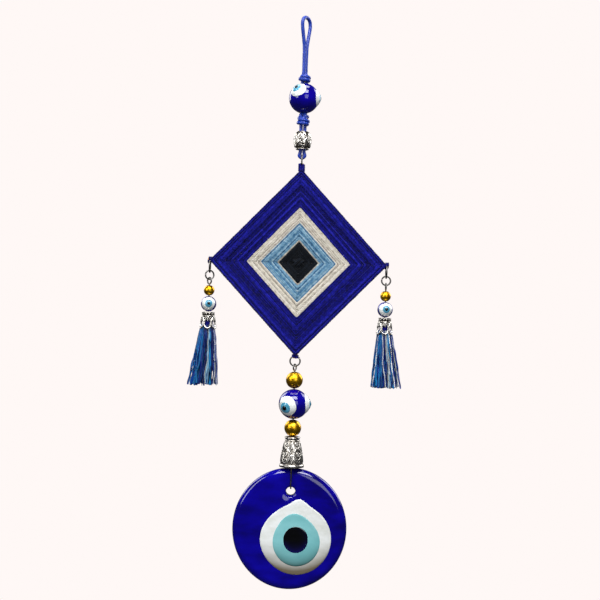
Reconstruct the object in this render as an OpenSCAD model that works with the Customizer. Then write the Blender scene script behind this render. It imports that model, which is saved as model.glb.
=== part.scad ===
// Evil eye wall hanging: a hanging cord with two beads, a yarn-woven diamond on crossed sticks,
// two side tassel drops and a lower drop that carries a glass eye disc.
// Millimetres. +Z is up, the front faces -Y, the origin is the inner top of the hanging loop.

/* [Hanging cord] */
// Diameter of the satin cord
cord_d = 1.9; // [1.4:0.1:2.0]
// Top of the upper knot below the origin
knot_drop = 28.6; // [28:0.2:30]
// Width of a knot
knot_w = 5.8; // [5:0.1:6.4]
// Height of the upper knot
upper_knot_h = 4.4; // [3.6:0.1:6]
// Height of the lower knot
lower_knot_h = 6.6; // [5:0.1:8]
// Free cord between the lower knot and the charm bead
neck_h = 2.6; // [1:0.1:6]
// Gap between the two strands of the doubled cord
strand_gap = 0.1; // [0:0.05:0.4]
// Radial clearance of the doubled cord in the beads
cord_fit = 0.2; // [0.1:0.05:0.5]
// Straight part of the cord's end loop below the charm bead
end_loop_drop = 2.6; // [1.5:0.1:5]

/* [Beads] */
// Diameter of the top eye bead
top_bead_d = 15.8; // [13.2:0.2:20]
// Diameter of the white spots on the top bead
top_eye_w = 8.4; // [6:0.1:9]
// Width of the silver charm bead
charm_w = 9.2; // [7:0.1:12]
// Height of the silver charm bead
charm_h = 9.6; // [7:0.1:14]
// Diameter of the middle eye bead
middle_bead_d = 15.8; // [12:0.2:20]
// Diameter of the white spots on the middle bead
middle_eye_w = 10.2; // [7:0.1:11]
// Diameter of the two large gold beads
gold_d = 8.8; // [6:0.1:11]
// Diameter of the small gold beads
small_gold_d = 5.6; // [4:0.1:7]
// Diameter of the small eye beads
small_bead_d = 8.2; // [6:0.1:10]
// Glass left around the white spots on the small eye beads, both sides together
small_eye_rim = 1.4; // [1:0.1:3]
// Gap left between beads that turn on one pin
bead_gap = 0.15; // [0.1:0.05:0.4]
// Radial clearance of a bead on its pin
pin_fit = 0.15; // [0.1:0.05:0.3]

/* [Woven diamond] */
// Half width of the yarn diamond
diamond_half_w = 45.2; // [36:0.2:60]
// Half height of the yarn diamond
diamond_half_h = 48; // [38:0.2:62]
// Half height of the black centre
black_half = 11; // [6:0.5:15]
// Half height of the light blue band
light_half = 20.8; // [16:0.2:24]
// Half height of the cream band
cream_half = 28.6; // [25:0.2:34]
// Diameter of the two sticks
stick_d = 2.4; // [2.2:0.1:3]
// Thickness of one layer of yarn
yarn_d = 0.9; // [0.7:0.05:1.2]
// Length of the stick above the yarn
stub_h = 3.6; // [3.2:0.1:6]
// Length of the stick below and beside the yarn
tip_h = 1.7; // [1.6:0.1:3]

/* [Wire parts] */
// Wire diameter of the rings
ring_wire = 0.8; // [0.7:0.05:0.9]
// Centreline radius of the top ring
top_ring_r = 2.9; // [2.7:0.1:4]
// Centreline radius of the two corner links
link_r = 3.2; // [2.8:0.1:4]
// Centreline radius of the side rings
side_ring_r = 2.3; // [2.1:0.1:3]
// Centreline radius of the bottom ring
bottom_ring_r = 2.6; // [2.3:0.1:3.4]
// Wire diameter of the eye pins
pin_wire = 0.8; // [0.6:0.05:0.9]
// Centreline radius of the eyes at the top of the pins
pin_eye_r = 1.65; // [1.5:0.05:2]
// Gap between wires that hang in each other
wire_gap = 0.1; // [0.05:0.05:0.2]
// Turn of the left ring about the vertical
left_ring_turn = 25; // [0:5:40]
// Turn of the left pin eye about the vertical
left_eye_turn = -50; // [-60:5:-40]
// Turn of the bottom pin eye about the vertical
bottom_eye_turn = 65; // [50:5:90]

/* [Side tassels] */
// Height of the silver tassel cap
cap_h = 8.2; // [6:0.2:11]
// Diameter of the cap at its top
cap_top_d = 6.6; // [5:0.1:8]
// Diameter of the cap at its lower edge
cap_bottom_d = 8.6; // [7:0.1:11]
// Wall of the cap
cap_wall = 0.5; // [0.4:0.05:0.8]
// Length of the tassel below the cap
skirt_h = 27.5; // [18:0.5:40]
// Width of the tassel at its lower end
skirt_w = 17; // [12:0.5:24]
// Depth of the tassel at its lower end, front to back
skirt_depth = 10; // [9:0.5:16]
// Sideways lean of the tassel at its lower end
skirt_lean = 1.8; // [0:0.1:4]

/* [Bead cone] */
// Height of the silver cone
cone_h = 15.6; // [11:0.2:20]
// Diameter of the cone at its top
cone_top_d = 7.8; // [6:0.1:9]
// Room in the cone's mouth beside the wire loop
cone_room = 0.7; // [0.3:0.1:2]
// Wall of the cone
cone_wall = 0.8; // [0.5:0.1:1]

/* [Glass disc] */
// Width of the disc
disc_w = 59.4; // [48:0.2:72]
// Height of the disc
disc_h = 63; // [52:0.2:76]
// Thickness of the disc
disc_t = 7.6; // [6:0.2:9]
// Width of the sloping rim on the front
disc_bevel = 2.6; // [1.5:0.1:4]
// Diameter of the hanging hole
disc_hole_d = 4.9; // [4:0.1:6]
// Top edge of the disc to the centre of the hole
disc_hole_drop = 12; // [10:0.1:14]
// Gap between the wire loop and each face of the disc
loop_gap = 0.3; // [0.2:0.1:1]
// Gap between the cone and the top of the disc
disc_gap = 0.6; // [0.4:0.1:2]
// Width of the white drop
white_w = 37; // [30:0.5:40]
// Diameter of the turquoise ring
turquoise_d = 25.4; // [20:0.2:28]
// Diameter of the black pupil
pupil_d = 13; // [9:0.2:16]
// Thickness of each glass layer on the front of the disc
layer_t = 0.6; // [0.4:0.1:1]

/* [Hidden] */
$fn = 48;

ring_rad = ring_wire / 2;
pin_rad = pin_wire / 2;
cord_rad = cord_d / 2;
stick_rad = stick_d / 2;
rib_rad = stick_rad + yarn_d;

// Half distances between the strands: side by side, and apart to let the top ring through
strand_half = cord_rad + strand_gap / 2;
end_loop_half = cord_rad + ring_rad + wire_gap;
cord_hole_d = 2 * (strand_half + cord_rad + cord_fit);
small_eye_w = small_bead_d - small_eye_rim;
// The wire loop's arms stand this far in front of and behind the disc's middle
loop_half = disc_t / 2 + pin_rad + loop_gap;
cone_bottom_d = 2 * (loop_half + pin_rad + cone_room + cone_wall);

// Route of the hanging loop in its own plane: distance from the middle and height.
loop_turn = 58;
loop_points = [
    [-1.05, -28.6], [-1.05, -25], [-1.05, -21], [-1.1, -17], [-1.4, -13.5], [-2.2, -10], [-3, -7],
    [-3.6, -4.5], [-3.8, -2.8], [-3.5, -1.1], [-2.6, 0.2], [-1.4, 0.8], [0, 1],
    [1.4, 0.8], [2.6, 0.2], [3.5, -1.1], [3.8, -2.8], [3.6, -4.5], [3, -7], [2.2, -10],
    [1.4, -13.5], [1.1, -17], [1.05, -21], [1.05, -25], [1.05, -28.6]
];

// Heights down the middle line
upper_knot_z = -knot_drop;
top_bead_z = upper_knot_z - upper_knot_h - bead_gap - top_bead_d / 2;
lower_knot_z = top_bead_z - top_bead_d / 2 - bead_gap;
neck_z = lower_knot_z - lower_knot_h;
charm_z = neck_z - neck_h;
charm_bottom_z = charm_z - charm_h;
end_bend_z = charm_bottom_z - end_loop_drop;
top_ring_z = end_bend_z - end_loop_half + cord_rad + ring_rad + wire_gap - top_ring_r;
stub_wire_z = top_ring_z - top_ring_r;
stub_wall = 0.55;
hole_rise = top_ring_r - sqrt(pow(top_ring_r, 2) - pow(stick_rad, 2));
wire_hole_rad = ring_rad + hole_rise / 2 + wire_gap;
stick_top_z = stub_wire_z + hole_rise / 2 + wire_hole_rad + stub_wall;
diamond_z = stick_top_z - stub_h - diamond_half_h;
bottom_wire_z = diamond_z - diamond_half_h - ring_rad - wire_gap;
bottom_hole_rise = bottom_ring_r - sqrt(pow(bottom_ring_r, 2) - pow(stick_rad, 2));
bottom_hole_rad = ring_rad + bottom_hole_rise / 2 + wire_gap;
stick_bottom_z = diamond_z - diamond_half_h - tip_h;
bottom_ring_z = bottom_wire_z - bottom_ring_r;
bottom_eye_top_z = bottom_ring_z - bottom_ring_r + ring_rad + pin_rad + wire_gap;
bottom_eye_z = bottom_eye_top_z - pin_eye_r;
bottom_shank_z = bottom_eye_z - pin_eye_r;
gold_z = bottom_shank_z - pin_rad - bead_gap - gold_d / 2;
middle_bead_z = gold_z - gold_d / 2 - bead_gap - middle_bead_d / 2;
lower_gold_z = middle_bead_z - middle_bead_d / 2 - bead_gap - gold_d / 2;
cone_top_z = lower_gold_z - gold_d / 2 - bead_gap;
cone_bottom_z = cone_top_z - cone_h;
disc_top_z = cone_bottom_z - disc_gap;
disc_z = disc_top_z - disc_h / 2;
disc_hole_z = disc_top_z - disc_hole_drop;
disc_wire_z = disc_hole_z + disc_hole_d / 2 - pin_rad - wire_gap;

// Places of the side drops
side_x = diamond_half_w + 0.9;
side_y = stick_d;
link_hole_rise = link_r - sqrt(pow(link_r, 2) - pow(stick_rad, 2));
link_hole_rad = ring_rad + link_hole_rise / 2 + wire_gap;
stick_end_x = diamond_half_w + tip_h + 0.3;
link_z = diamond_z - link_r;
side_ring_z = link_z - link_r + 2 * ring_rad + wire_gap - side_ring_r;
side_eye_z = side_ring_z - side_ring_r + ring_rad + pin_rad + wire_gap - pin_eye_r;
small_gold_z = side_eye_z - pin_eye_r - pin_rad - bead_gap - small_gold_d / 2;
small_bead_z = small_gold_z - small_gold_d / 2 - bead_gap - small_bead_d / 2;
cap_top_z = small_bead_z - small_bead_d / 2 - bead_gap;
cap_bottom_z = cap_top_z - cap_h;
tie_top_z = cap_top_z - 2.6;
skirt_bottom_z = cap_bottom_z - skirt_h;

// ---- shapes used more than once ----

// A ring that stands upright; turn 0 shows its face to the front, 90 its edge
module ring(r, wire_rad, turn = 0) {
    rotate([0, 0, turn]) rotate([90, 0, 0]) rotate_extrude() translate([r, 0]) circle(r = wire_rad);
}

// A round bead with a bore along Z
module bored_ball(d, bore_d) {
    difference() {
        sphere(d = d);
        cylinder(h = d + 1, d = bore_d, center = true);
    }
}

// A dome that rises from the ball of radius base_rad and is spot_w wide where it meets it:
// gives [radius of its own ball, distance of that ball's centre]
function dome(base_rad, base_at, spot_w, rise) =
    let (
        half = spot_w / 2,
        foot = base_at + sqrt(pow(base_rad, 2) - pow(half, 2)),
        cap = base_at + base_rad + rise - foot,
        rad = (pow(half, 2) + pow(cap, 2)) / (2 * cap)
    ) [rad, base_at + base_rad + rise - rad];

// One layer of a stacked eye: the dome's ball less the ball beneath it
module eye_layer(layer, under, aims) {
    $fn = 120;
    for (aim = aims)
        rotate([0, 0, aim[0]]) rotate([-aim[1], 0, 0]) difference() {
            translate([0, -layer[1], 0]) sphere(r = layer[0]);
            translate([0, -under[1], 0]) sphere(r = under[0]);
        }
}

// The three domes of an eye on a ball of diameter d
function eye_domes(d, spot_w) =
    let (
        white = dome(d / 2, 0, spot_w, 0.13 * spot_w),
        iris = dome(white[0], white[1], 0.6 * spot_w, 0.05 * spot_w),
        pupil = dome(iris[0], iris[1], 0.25 * spot_w, 0.04 * spot_w)
    ) [white, iris, pupil];

module eye_whites(d, spot_w, aims) {
    eye_layer(eye_domes(d, spot_w)[0], [d / 2, 0], aims);
}

module eye_irises(d, spot_w, aims) {
    domes = eye_domes(d, spot_w);
    eye_layer(domes[1], domes[0], aims);
}

module eye_pupils(d, spot_w, aims) {
    domes = eye_domes(d, spot_w);
    eye_layer(domes[2], domes[1], aims);
}

// ---- hanging cord ----

function unit(v) = v / norm(v);

// Rings of eight points square to the route
function tube_points(route, rad) =
    let (last = len(route) - 1)
    [
        for (i = [0 : last])
            let (
                way = i == 0 || i == last
                    ? [0, i == 0 ? 1 : -1]
                    : unit(route[i + 1] - route[i - 1]),
                side = [way[1], -way[0]]
            )
            for (k = [0 : 7])
                let (u = route[i] + rad * cos(45 * k + 22.5) * side)
                [u[0], rad * sin(45 * k + 22.5), u[1]]
    ];

function tube_faces(count) = concat(
    [[for (k = [7 : -1 : 0]) k]],
    [
        for (i = [0 : count - 2]) for (k = [0 : 7])
            let (next = (k + 1) % 8)
            [8 * i + k, 8 * i + next, 8 * (i + 1) + next, 8 * (i + 1) + k]
    ],
    [[for (k = [0 : 7]) 8 * (count - 1) + k]]
);

module hanging_loop_cord() {
    color("royalblue") rotate([0, 0, loop_turn])
        polyhedron(tube_points(loop_points, cord_rad), tube_faces(len(loop_points)));
}

// A knot stays a plain rounded barrel
module knot(height) {
    edge = 1.2;
    rotate_extrude() polygon([
        [0, 0], [knot_w / 2 - edge, 0], [knot_w / 2, -edge],
        [knot_w / 2, edge - height], [knot_w / 2 - edge, -height], [0, -height]
    ]);
}

module upper_knot() {
    color("royalblue") translate([0, 0, upper_knot_z]) knot(upper_knot_h);
}

module lower_knot() {
    color("royalblue") translate([0, 0, lower_knot_z]) knot(lower_knot_h);
}

// The doubled cord inside the top bead
module bead_cord() {
    height = top_bead_d + 2 * bead_gap;
    color("royalblue") for (side = [-1, 1])
        translate([side * strand_half, 0, top_bead_z - height / 2]) cylinder(h = height, r = cord_rad);
}

// The doubled cord through the charm bead, with the loop that holds the top ring
module lower_cord() {
    color("royalblue") {
        for (side = [-1, 1])
            translate([side * end_loop_half, 0, end_bend_z])
                cylinder(h = end_loop_drop + 0.01, r = cord_rad);
        translate([0, 0, end_bend_z]) rotate([-90, 0, 0]) rotate_extrude(angle = 180)
            translate([end_loop_half, 0]) circle(r = cord_rad);
        for (side = [-1, 1])
            translate([side * strand_half, 0, charm_bottom_z])
                cylinder(h = charm_h + neck_h, r = cord_rad);
    }
}

// ---- top beads ----

// Eyes: turn about Z from the front, then lift
top_aims = [[-30, 30], [85, 2], [200, -12]];

module top_bead_glass() {
    color("navy") translate([0, 0, top_bead_z]) bored_ball(top_bead_d, cord_hole_d);
}

module top_bead_whites() {
    color("white") translate([0, 0, top_bead_z]) eye_whites(top_bead_d, top_eye_w, top_aims);
}

module top_bead_irises() {
    color("skyblue") translate([0, 0, top_bead_z]) eye_irises(top_bead_d, top_eye_w, top_aims);
}

module top_bead_pupils() {
    color("black") translate([0, 0, top_bead_z]) eye_pupils(top_bead_d, top_eye_w, top_aims);
}

module charm_bead() {
    collar = 0.62;
    color("silver") translate([0, 0, charm_bottom_z]) difference() {
        rotate_extrude() polygon([
            [0, 0], [charm_w * collar / 2, 0], [charm_w / 2, charm_h * 0.28],
            [charm_w / 2, charm_h * 0.72], [charm_w * collar / 2, charm_h], [0, charm_h]
        ]);
        translate([0, 0, -1]) cylinder(h = charm_h + 2, d = cord_hole_d);
    }
}

module top_jump_ring() {
    color("dimgray") translate([0, 0, top_ring_z]) ring(top_ring_r, ring_rad, 90);
}

// ---- woven diamond ----

module vertical_stick() {
    color("sienna") difference() {
        translate([0, 0, stick_bottom_z]) cylinder(h = stick_top_z - stick_bottom_z, r = stick_rad);
        translate([0, 0, stub_wire_z + hole_rise / 2]) rotate([90, 0, 0])
            cylinder(h = 2 * stick_d, r = wire_hole_rad, center = true);
        translate([0, 0, bottom_wire_z - bottom_hole_rise / 2]) rotate([0, 90, 0])
            cylinder(h = 2 * stick_d, r = bottom_hole_rad, center = true);
    }
}

module horizontal_stick() {
    color("sienna") difference() {
        translate([0, side_y, diamond_z]) rotate([0, 90, 0])
            cylinder(h = 2 * stick_end_x, r = stick_rad, center = true);
        for (side = [-1, 1])
            translate([side * side_x, side_y, diamond_z - link_hole_rise / 2]) rotate([90, 0, 0])
                cylinder(h = 2 * stick_d, r = link_hole_rad, center = true);
    }
}

// The yarn wound round the stick above the diamond, below the ring's hole
module top_stub_wrap() {
    low = diamond_z + diamond_half_h;
    high = stub_wire_z + hole_rise / 2 - wire_hole_rad - 0.2;
    color("royalblue") translate([0, 0, low]) difference() {
        cylinder(h = high - low, r = stick_rad + 0.45);
        translate([0, 0, -1]) cylinder(h = high - low + 2, r = stick_rad);
    }
}

// Depth of the yarn's front face: in front of the upright stick, and back to the level stick
rib_proud = 0.15;
function front_y(t) = rib_proud - rib_rad + side_y * t;
sheet_steps = 6;

// One panel of yarn stretched from the upright stick to the level stick
module yarn_panel(from, to, side_h, side_v) {
    rows = [for (i = [0 : sheet_steps]) i / sheet_steps];
    points = [
        for (t = rows)
            for (corner = [[from, 0], [to, 0], [to, 1], [from, 1]])
                let (s = corner[0], back = corner[1] * (yarn_d + 0.1))
                [side_h * s * t * diamond_half_w, front_y(t) + back, side_v * s * (1 - t) * diamond_half_h]
    ];
    sides = [
        for (i = [0 : sheet_steps - 1]) for (k = [0 : 3])
            let (a = 4 * i + k, b = 4 * i + (k + 1) % 4)
            each [[a, b, b + 4], [a, b + 4, a + 4]]
    ];
    last = 4 * sheet_steps;
    faces = concat(sides, [[0, 3, 2], [0, 2, 1], [last, last + 1, last + 2], [last, last + 2, last + 3]]);
    polyhedron(points, side_h * side_v > 0 ? faces : [for (f = faces) [f[2], f[1], f[0]]]);
}

// The yarn's rib round a stick is a twelve-sided tube
module rib(h, rad) {
    rotate([0, 0, 15]) cylinder(h = h, r = rad / cos(15), center = true, $fn = 12);
}

module diamond_outline(share) {
    polygon([for (corner = [[1, 0], [0, 1], [-1, 0], [0, -1]])
        share * [corner[0] * diamond_half_w, corner[1] * diamond_half_h]]);
}

// Both ribs out to a share of the half diagonals, mitred between the shares from and to
module mitred_ribs(from, to) {
    intersection() {
        union() {
            rib(2 * to * diamond_half_h, rib_rad);
            translate([0, side_y, 0]) rotate([0, 90, 0]) rib(2 * to * diamond_half_w, rib_rad);
        }
        rotate([90, 0, 0]) linear_extrude(8 * rib_rad, center = true) difference() {
            diamond_outline(to);
            if (from > 0) diamond_outline(from);
        }
    }
}

// Takes the two sticks out of the yarn
module without_sticks() {
    difference() {
        children();
        rib(3 * diamond_half_h, stick_rad);
        translate([0, side_y, 0]) rotate([0, 90, 0]) rib(3 * diamond_half_w, stick_rad);
    }
}

// One colour of yarn, between two shares of the half diagonals
module winding(from, to) {
    without_sticks() union() {
        for (side_h = [-1, 1]) for (side_v = [-1, 1]) yarn_panel(from, to, side_h, side_v);
        mitred_ribs(from, to);
    }
}

// The yarn lies thick in the middle, over the crossing of the sticks
module middle_winding(to) {
    back = stick_rad * 2 / 3;
    without_sticks() union() {
        translate([0, back, 0]) rotate([90, 0, 0]) linear_extrude(back - front_y(0)) diamond_outline(to);
        mitred_ribs(0, to);
    }
}

black_share = black_half / diamond_half_h;
light_share = light_half / diamond_half_h;
cream_share = cream_half / diamond_half_h;

module black_yarn() {
    color("black") translate([0, 0, diamond_z]) middle_winding(black_share);
}

module light_blue_yarn() {
    color("lightskyblue") translate([0, 0, diamond_z]) winding(black_share, light_share);
}

module cream_yarn() {
    color("ivory") translate([0, 0, diamond_z]) winding(light_share, cream_share);
}

module royal_blue_yarn() {
    color("blue") translate([0, 0, diamond_z]) winding(cream_share, 1);
}

// ---- side drops, side -1 is the left one ----

module corner_link(side) {
    color("dimgray") translate([side * side_x, side_y, link_z]) ring(link_r, ring_rad, 90);
}

module side_ring(side) {
    color("dimgray") translate([side * side_x, side_y, side_ring_z])
        ring(side_ring_r, ring_rad, side < 0 ? left_ring_turn : 0);
}

// The eye pin: an eye at the top, a straight shank, and a small eye in the tassel cap
module side_pin(side) {
    foot_z = tie_top_z + 0.7;
    color("dimgray") translate([side * side_x, side_y, 0]) {
        translate([0, 0, side_eye_z]) ring(pin_eye_r, pin_rad, side < 0 ? left_eye_turn : 90);
        translate([0, 0, foot_z]) cylinder(h = side_eye_z - pin_eye_r - foot_z, r = pin_rad);
        translate([0, 0, foot_z]) sphere(r = 1.1);
    }
}

module side_gold(side) {
    color("gold") translate([side * side_x, side_y, small_gold_z])
        bored_ball(small_gold_d, pin_wire + 2 * pin_fit);
}

// A small bead has an eye in front and one behind
small_aims = [[0, 3], [180, 3]];

module side_bead(side) {
    translate([side * side_x, side_y, small_bead_z]) children();
}

module tassel_cap(side) {
    color("silver") translate([side * side_x, side_y, cap_top_z]) difference() {
        rotate_extrude() polygon([
            [0, 0], [cap_top_d / 2, 0], [cap_top_d / 2, -1.6], [cap_bottom_d / 2, -cap_h],
            [cap_bottom_d / 2 - cap_wall, -cap_h], [cap_top_d / 2 - cap_wall, -1.8],
            [cap_top_d / 2 - cap_wall, -cap_wall], [0, -cap_wall]
        ]);
        translate([0, 0, -1]) cylinder(h = 3, d = pin_wire);
    }
}

// The folded top of the tassel, bound with thread under the cap
module tassel_tie(side) {
    color("royalblue") translate([side * side_x, side_y, cap_bottom_z]) difference() {
        cylinder(h = tie_top_z - cap_bottom_z, r = cap_top_d / 2 - cap_wall - 0.1);
        translate([0, 0, tie_top_z - cap_bottom_z + 0.7]) sphere(r = 1.1);
    }
}

module tassel_skirt(side) {
    top_rad = cap_bottom_d / 2 - cap_wall - 0.05;
    color("mediumblue") translate([side * side_x, side_y, 0]) hull() {
        translate([0, 0, cap_bottom_z - 0.6]) cylinder(h = 0.6, r = top_rad, $fn = 32);
        translate([side * skirt_lean, 0, skirt_bottom_z]) resize([skirt_w, skirt_depth, 0.5])
            cylinder(h = 0.5, r = 1, $fn = 32);
    }
}

// ---- lower drop ----

module bottom_jump_ring() {
    color("dimgray") translate([0, 0, bottom_ring_z]) ring(bottom_ring_r, ring_rad, 0);
}

// The long eye pin: an eye, a shank through the beads and a long loop that passes through the disc
module bottom_eye_pin() {
    corner = 0.7;
    arc_z = cone_bottom_z + 2;
    color("dimgray") {
        translate([0, 0, bottom_eye_z]) ring(pin_eye_r, pin_rad, bottom_eye_turn);
        translate([0, 0, arc_z + loop_half]) cylinder(h = bottom_shank_z - arc_z - loop_half, r = pin_rad);
        translate([0, 0, arc_z]) rotate([90, 0, 90]) rotate_extrude(angle = 180)
            translate([loop_half, 0]) circle(r = pin_rad);
        for (side = [-1, 1]) {
            translate([0, side * loop_half, disc_wire_z + corner])
                cylinder(h = arc_z - disc_wire_z - corner, r = pin_rad);
            translate([0, side * (loop_half - corner), disc_wire_z + corner])
                rotate([90, side > 0 ? 90 : 180, 90]) rotate_extrude(angle = 90)
                    translate([corner, 0]) circle(r = pin_rad);
        }
        translate([0, 0, disc_wire_z]) rotate([90, 0, 0])
            cylinder(h = 2 * (loop_half - corner), r = pin_rad, center = true);
    }
}

module upper_gold_bead() {
    color("gold") translate([0, 0, gold_z]) bored_ball(gold_d, pin_wire + 2 * pin_fit);
}

middle_aims = [[-30, -6], [92, 4], [211, -3]];

module middle_bead_glass() {
    color("navy") translate([0, 0, middle_bead_z]) bored_ball(middle_bead_d, pin_wire + 2 * pin_fit);
}

module middle_bead_whites() {
    color("white") translate([0, 0, middle_bead_z])
        eye_whites(middle_bead_d, middle_eye_w, middle_aims);
}

module middle_bead_irises() {
    color("skyblue") translate([0, 0, middle_bead_z])
        eye_irises(middle_bead_d, middle_eye_w, middle_aims);
}

module middle_bead_pupils() {
    color("black") translate([0, 0, middle_bead_z])
        eye_pupils(middle_bead_d, middle_eye_w, middle_aims);
}

module lower_gold_bead() {
    color("gold") translate([0, 0, lower_gold_z]) bored_ball(gold_d, pin_wire + 2 * pin_fit);
}

module bead_cone() {
    color("silver") translate([0, 0, cone_top_z]) difference() {
        rotate_extrude() polygon([
            [0, 0], [cone_top_d / 2, 0], [cone_top_d / 2, -1], [cone_bottom_d / 2, -cone_h + 1],
            [cone_bottom_d / 2, -cone_h], [cone_bottom_d / 2 - cone_wall, -cone_h],
            [cone_bottom_d / 2 - cone_wall, -cone_h + 1], [cone_top_d / 2 - cone_wall, -1.2],
            [cone_top_d / 2 - cone_wall, -cone_wall], [0, -cone_wall]
        ]);
        translate([0, 0, -2]) cylinder(h = 3, d = pin_wire + 2 * pin_fit);
    }
}

// ---- glass disc ----

disc_steps = 72;

// Outline of the disc, drawn in by inset, at a depth y
function disc_ring(inset, y) = [
    for (i = [0 : disc_steps - 1])
        let (a = 360 * i / disc_steps)
        [(disc_w / 2 - inset) * cos(a), y, (disc_h / 2 - inset) * sin(a)]
];

module disc_body() {
    half = disc_t / 2;
    profile = [
        [1, half], [0.2, half - 0.8], [0, half - 1.8], [0.1, -half + 2.4],
        [0.9, -half + 1], [disc_bevel, -half]
    ];
    count = len(profile);
    walls = [
        for (j = [0 : count - 2]) for (i = [0 : disc_steps - 1])
            let (next = (i + 1) % disc_steps, a = j * disc_steps, b = a + disc_steps)
            each [[a + i, a + next, b + next], [a + i, b + next, b + i]]
    ];
    last = (count - 1) * disc_steps;
    polyhedron(
        [for (p = profile) each disc_ring(p[0], p[1])],
        concat(walls, [[for (i = [disc_steps - 1 : -1 : 0]) i]], [[for (i = [0 : disc_steps - 1]) last + i]])
    );
}

module disc_glass() {
    color("darkblue") difference() {
        translate([0, 0, disc_z]) disc_body();
        translate([0, 0, disc_hole_z]) rotate([90, 0, 0])
            cylinder(h = 3 * disc_t, d = disc_hole_d, center = true);
    }
}

// Middle of the painted eye, and its white point above it
eye_x = 3.3;
eye_z = disc_z - 4.9;
point_x = 2;
point_rad = 1;

// A flat layer on the disc's front face, above the layers beneath it
module disc_layer(level) {
    translate([0, -disc_t / 2 - layer_t * (level - 1), 0]) rotate([90, 0, 0])
        linear_extrude(layer_t) children();
}

// The white layer is a drop with its point up and to the right
module disc_white() {
    color("white") disc_layer(1) hull() {
        translate([eye_x, eye_z]) circle(d = white_w);
        translate([eye_x + point_x, eye_z + 1.04 * white_w / 2]) circle(r = point_rad);
    }
}

module disc_turquoise() {
    color("turquoise") disc_layer(2) translate([eye_x, eye_z]) circle(d = turquoise_d);
}

module disc_pupil() {
    color("black") disc_layer(3) translate([eye_x, eye_z]) circle(d = pupil_d);
}

hanging_loop_cord();
upper_knot();
bead_cord();
lower_knot();
lower_cord();
top_bead_glass();
top_bead_whites();
top_bead_irises();
top_bead_pupils();
charm_bead();
top_jump_ring();
vertical_stick();
horizontal_stick();
top_stub_wrap();
black_yarn();
light_blue_yarn();
cream_yarn();
royal_blue_yarn();
corner_link(-1);  // left_corner_link
side_ring(-1);  // left_jump_ring
side_pin(-1);  // left_eye_pin
side_gold(-1);  // left_gold_bead
side_bead(-1) color("navy") bored_ball(small_bead_d, pin_wire + 2 * pin_fit);  // left_bead_glass
side_bead(-1) color("white") eye_whites(small_bead_d, small_eye_w, small_aims);  // left_bead_whites
side_bead(-1) color("skyblue") eye_irises(small_bead_d, small_eye_w, small_aims);  // left_bead_irises
side_bead(-1) color("black") eye_pupils(small_bead_d, small_eye_w, small_aims);  // left_bead_pupils
tassel_cap(-1);  // left_tassel_cap
tassel_tie(-1);  // left_tassel_tie
tassel_skirt(-1);  // left_tassel_skirt
corner_link(1);  // right_corner_link
side_ring(1);  // right_jump_ring
side_pin(1);  // right_eye_pin
side_gold(1);  // right_gold_bead
side_bead(1) color("navy") bored_ball(small_bead_d, pin_wire + 2 * pin_fit);  // right_bead_glass
side_bead(1) color("white") eye_whites(small_bead_d, small_eye_w, small_aims);  // right_bead_whites
side_bead(1) color("skyblue") eye_irises(small_bead_d, small_eye_w, small_aims);  // right_bead_irises
side_bead(1) color("black") eye_pupils(small_bead_d, small_eye_w, small_aims);  // right_bead_pupils
tassel_cap(1);  // right_tassel_cap
tassel_tie(1);  // right_tassel_tie
tassel_skirt(1);  // right_tassel_skirt
bottom_jump_ring();
bottom_eye_pin();
upper_gold_bead();
middle_bead_glass();
middle_bead_whites();
middle_bead_irises();
middle_bead_pupils();
lower_gold_bead();
bead_cone();
disc_glass();
disc_white();
disc_turquoise();
disc_pupil();
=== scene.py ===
import math

import bmesh
import bpy
import numpy as np
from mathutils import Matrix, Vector, noise


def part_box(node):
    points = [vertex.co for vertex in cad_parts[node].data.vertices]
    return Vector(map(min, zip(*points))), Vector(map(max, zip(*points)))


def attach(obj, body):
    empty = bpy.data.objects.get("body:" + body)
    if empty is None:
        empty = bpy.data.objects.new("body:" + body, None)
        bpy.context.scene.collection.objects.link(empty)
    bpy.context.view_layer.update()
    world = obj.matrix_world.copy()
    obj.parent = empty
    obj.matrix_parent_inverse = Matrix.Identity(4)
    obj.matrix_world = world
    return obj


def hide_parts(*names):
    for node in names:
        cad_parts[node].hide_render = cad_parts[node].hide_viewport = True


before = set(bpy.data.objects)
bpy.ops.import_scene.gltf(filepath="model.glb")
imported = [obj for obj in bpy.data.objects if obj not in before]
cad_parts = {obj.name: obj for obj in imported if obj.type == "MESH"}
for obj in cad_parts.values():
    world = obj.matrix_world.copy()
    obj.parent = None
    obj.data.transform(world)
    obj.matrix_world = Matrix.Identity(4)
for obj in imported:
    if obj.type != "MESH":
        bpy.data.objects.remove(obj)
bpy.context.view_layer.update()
MM = 0.001
FULL = 2 * math.pi


# ---------------------------------------------------------------- small tools


def middle(node):
    lo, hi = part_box(node)
    return (lo + hi) / 2


def size(node):
    lo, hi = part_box(node)
    return hi - lo


def linear(code):
    """An sRGB hex colour as linear RGBA."""
    channels = [int(code[i : i + 2], 16) / 255 for i in (1, 3, 5)]
    return [c / 12.92 if c <= 0.04045 else ((c + 0.055) / 1.055) ** 2.4 for c in channels] + [1.0]


def add(tree, kind, inputs=(), stops=(), **settings):
    """Adds a node with its settings, its inputs by name or in order, and a colour ramp's stops."""
    made = tree.nodes.new(kind)
    for name, value in settings.items():
        setattr(made, name, value)
    for socket, value in dict(inputs if isinstance(inputs, dict) else enumerate(inputs)).items():
        if isinstance(value, bpy.types.NodeSocket):
            tree.links.new(value, made.inputs[socket])
        else:
            made.inputs[socket].default_value = value
    if stops:
        elements = made.color_ramp.elements
        while len(elements) < len(stops):
            elements.new(0.5)
        for element, (place, code) in zip(elements, stops):
            element.position = place
            element.color = linear(code)
    return made


def refinish(node, finish):
    """Gives a kept CAD node its real finish."""
    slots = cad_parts[node].data.materials
    slots.clear()
    slots.append(FINISH[finish])


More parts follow.
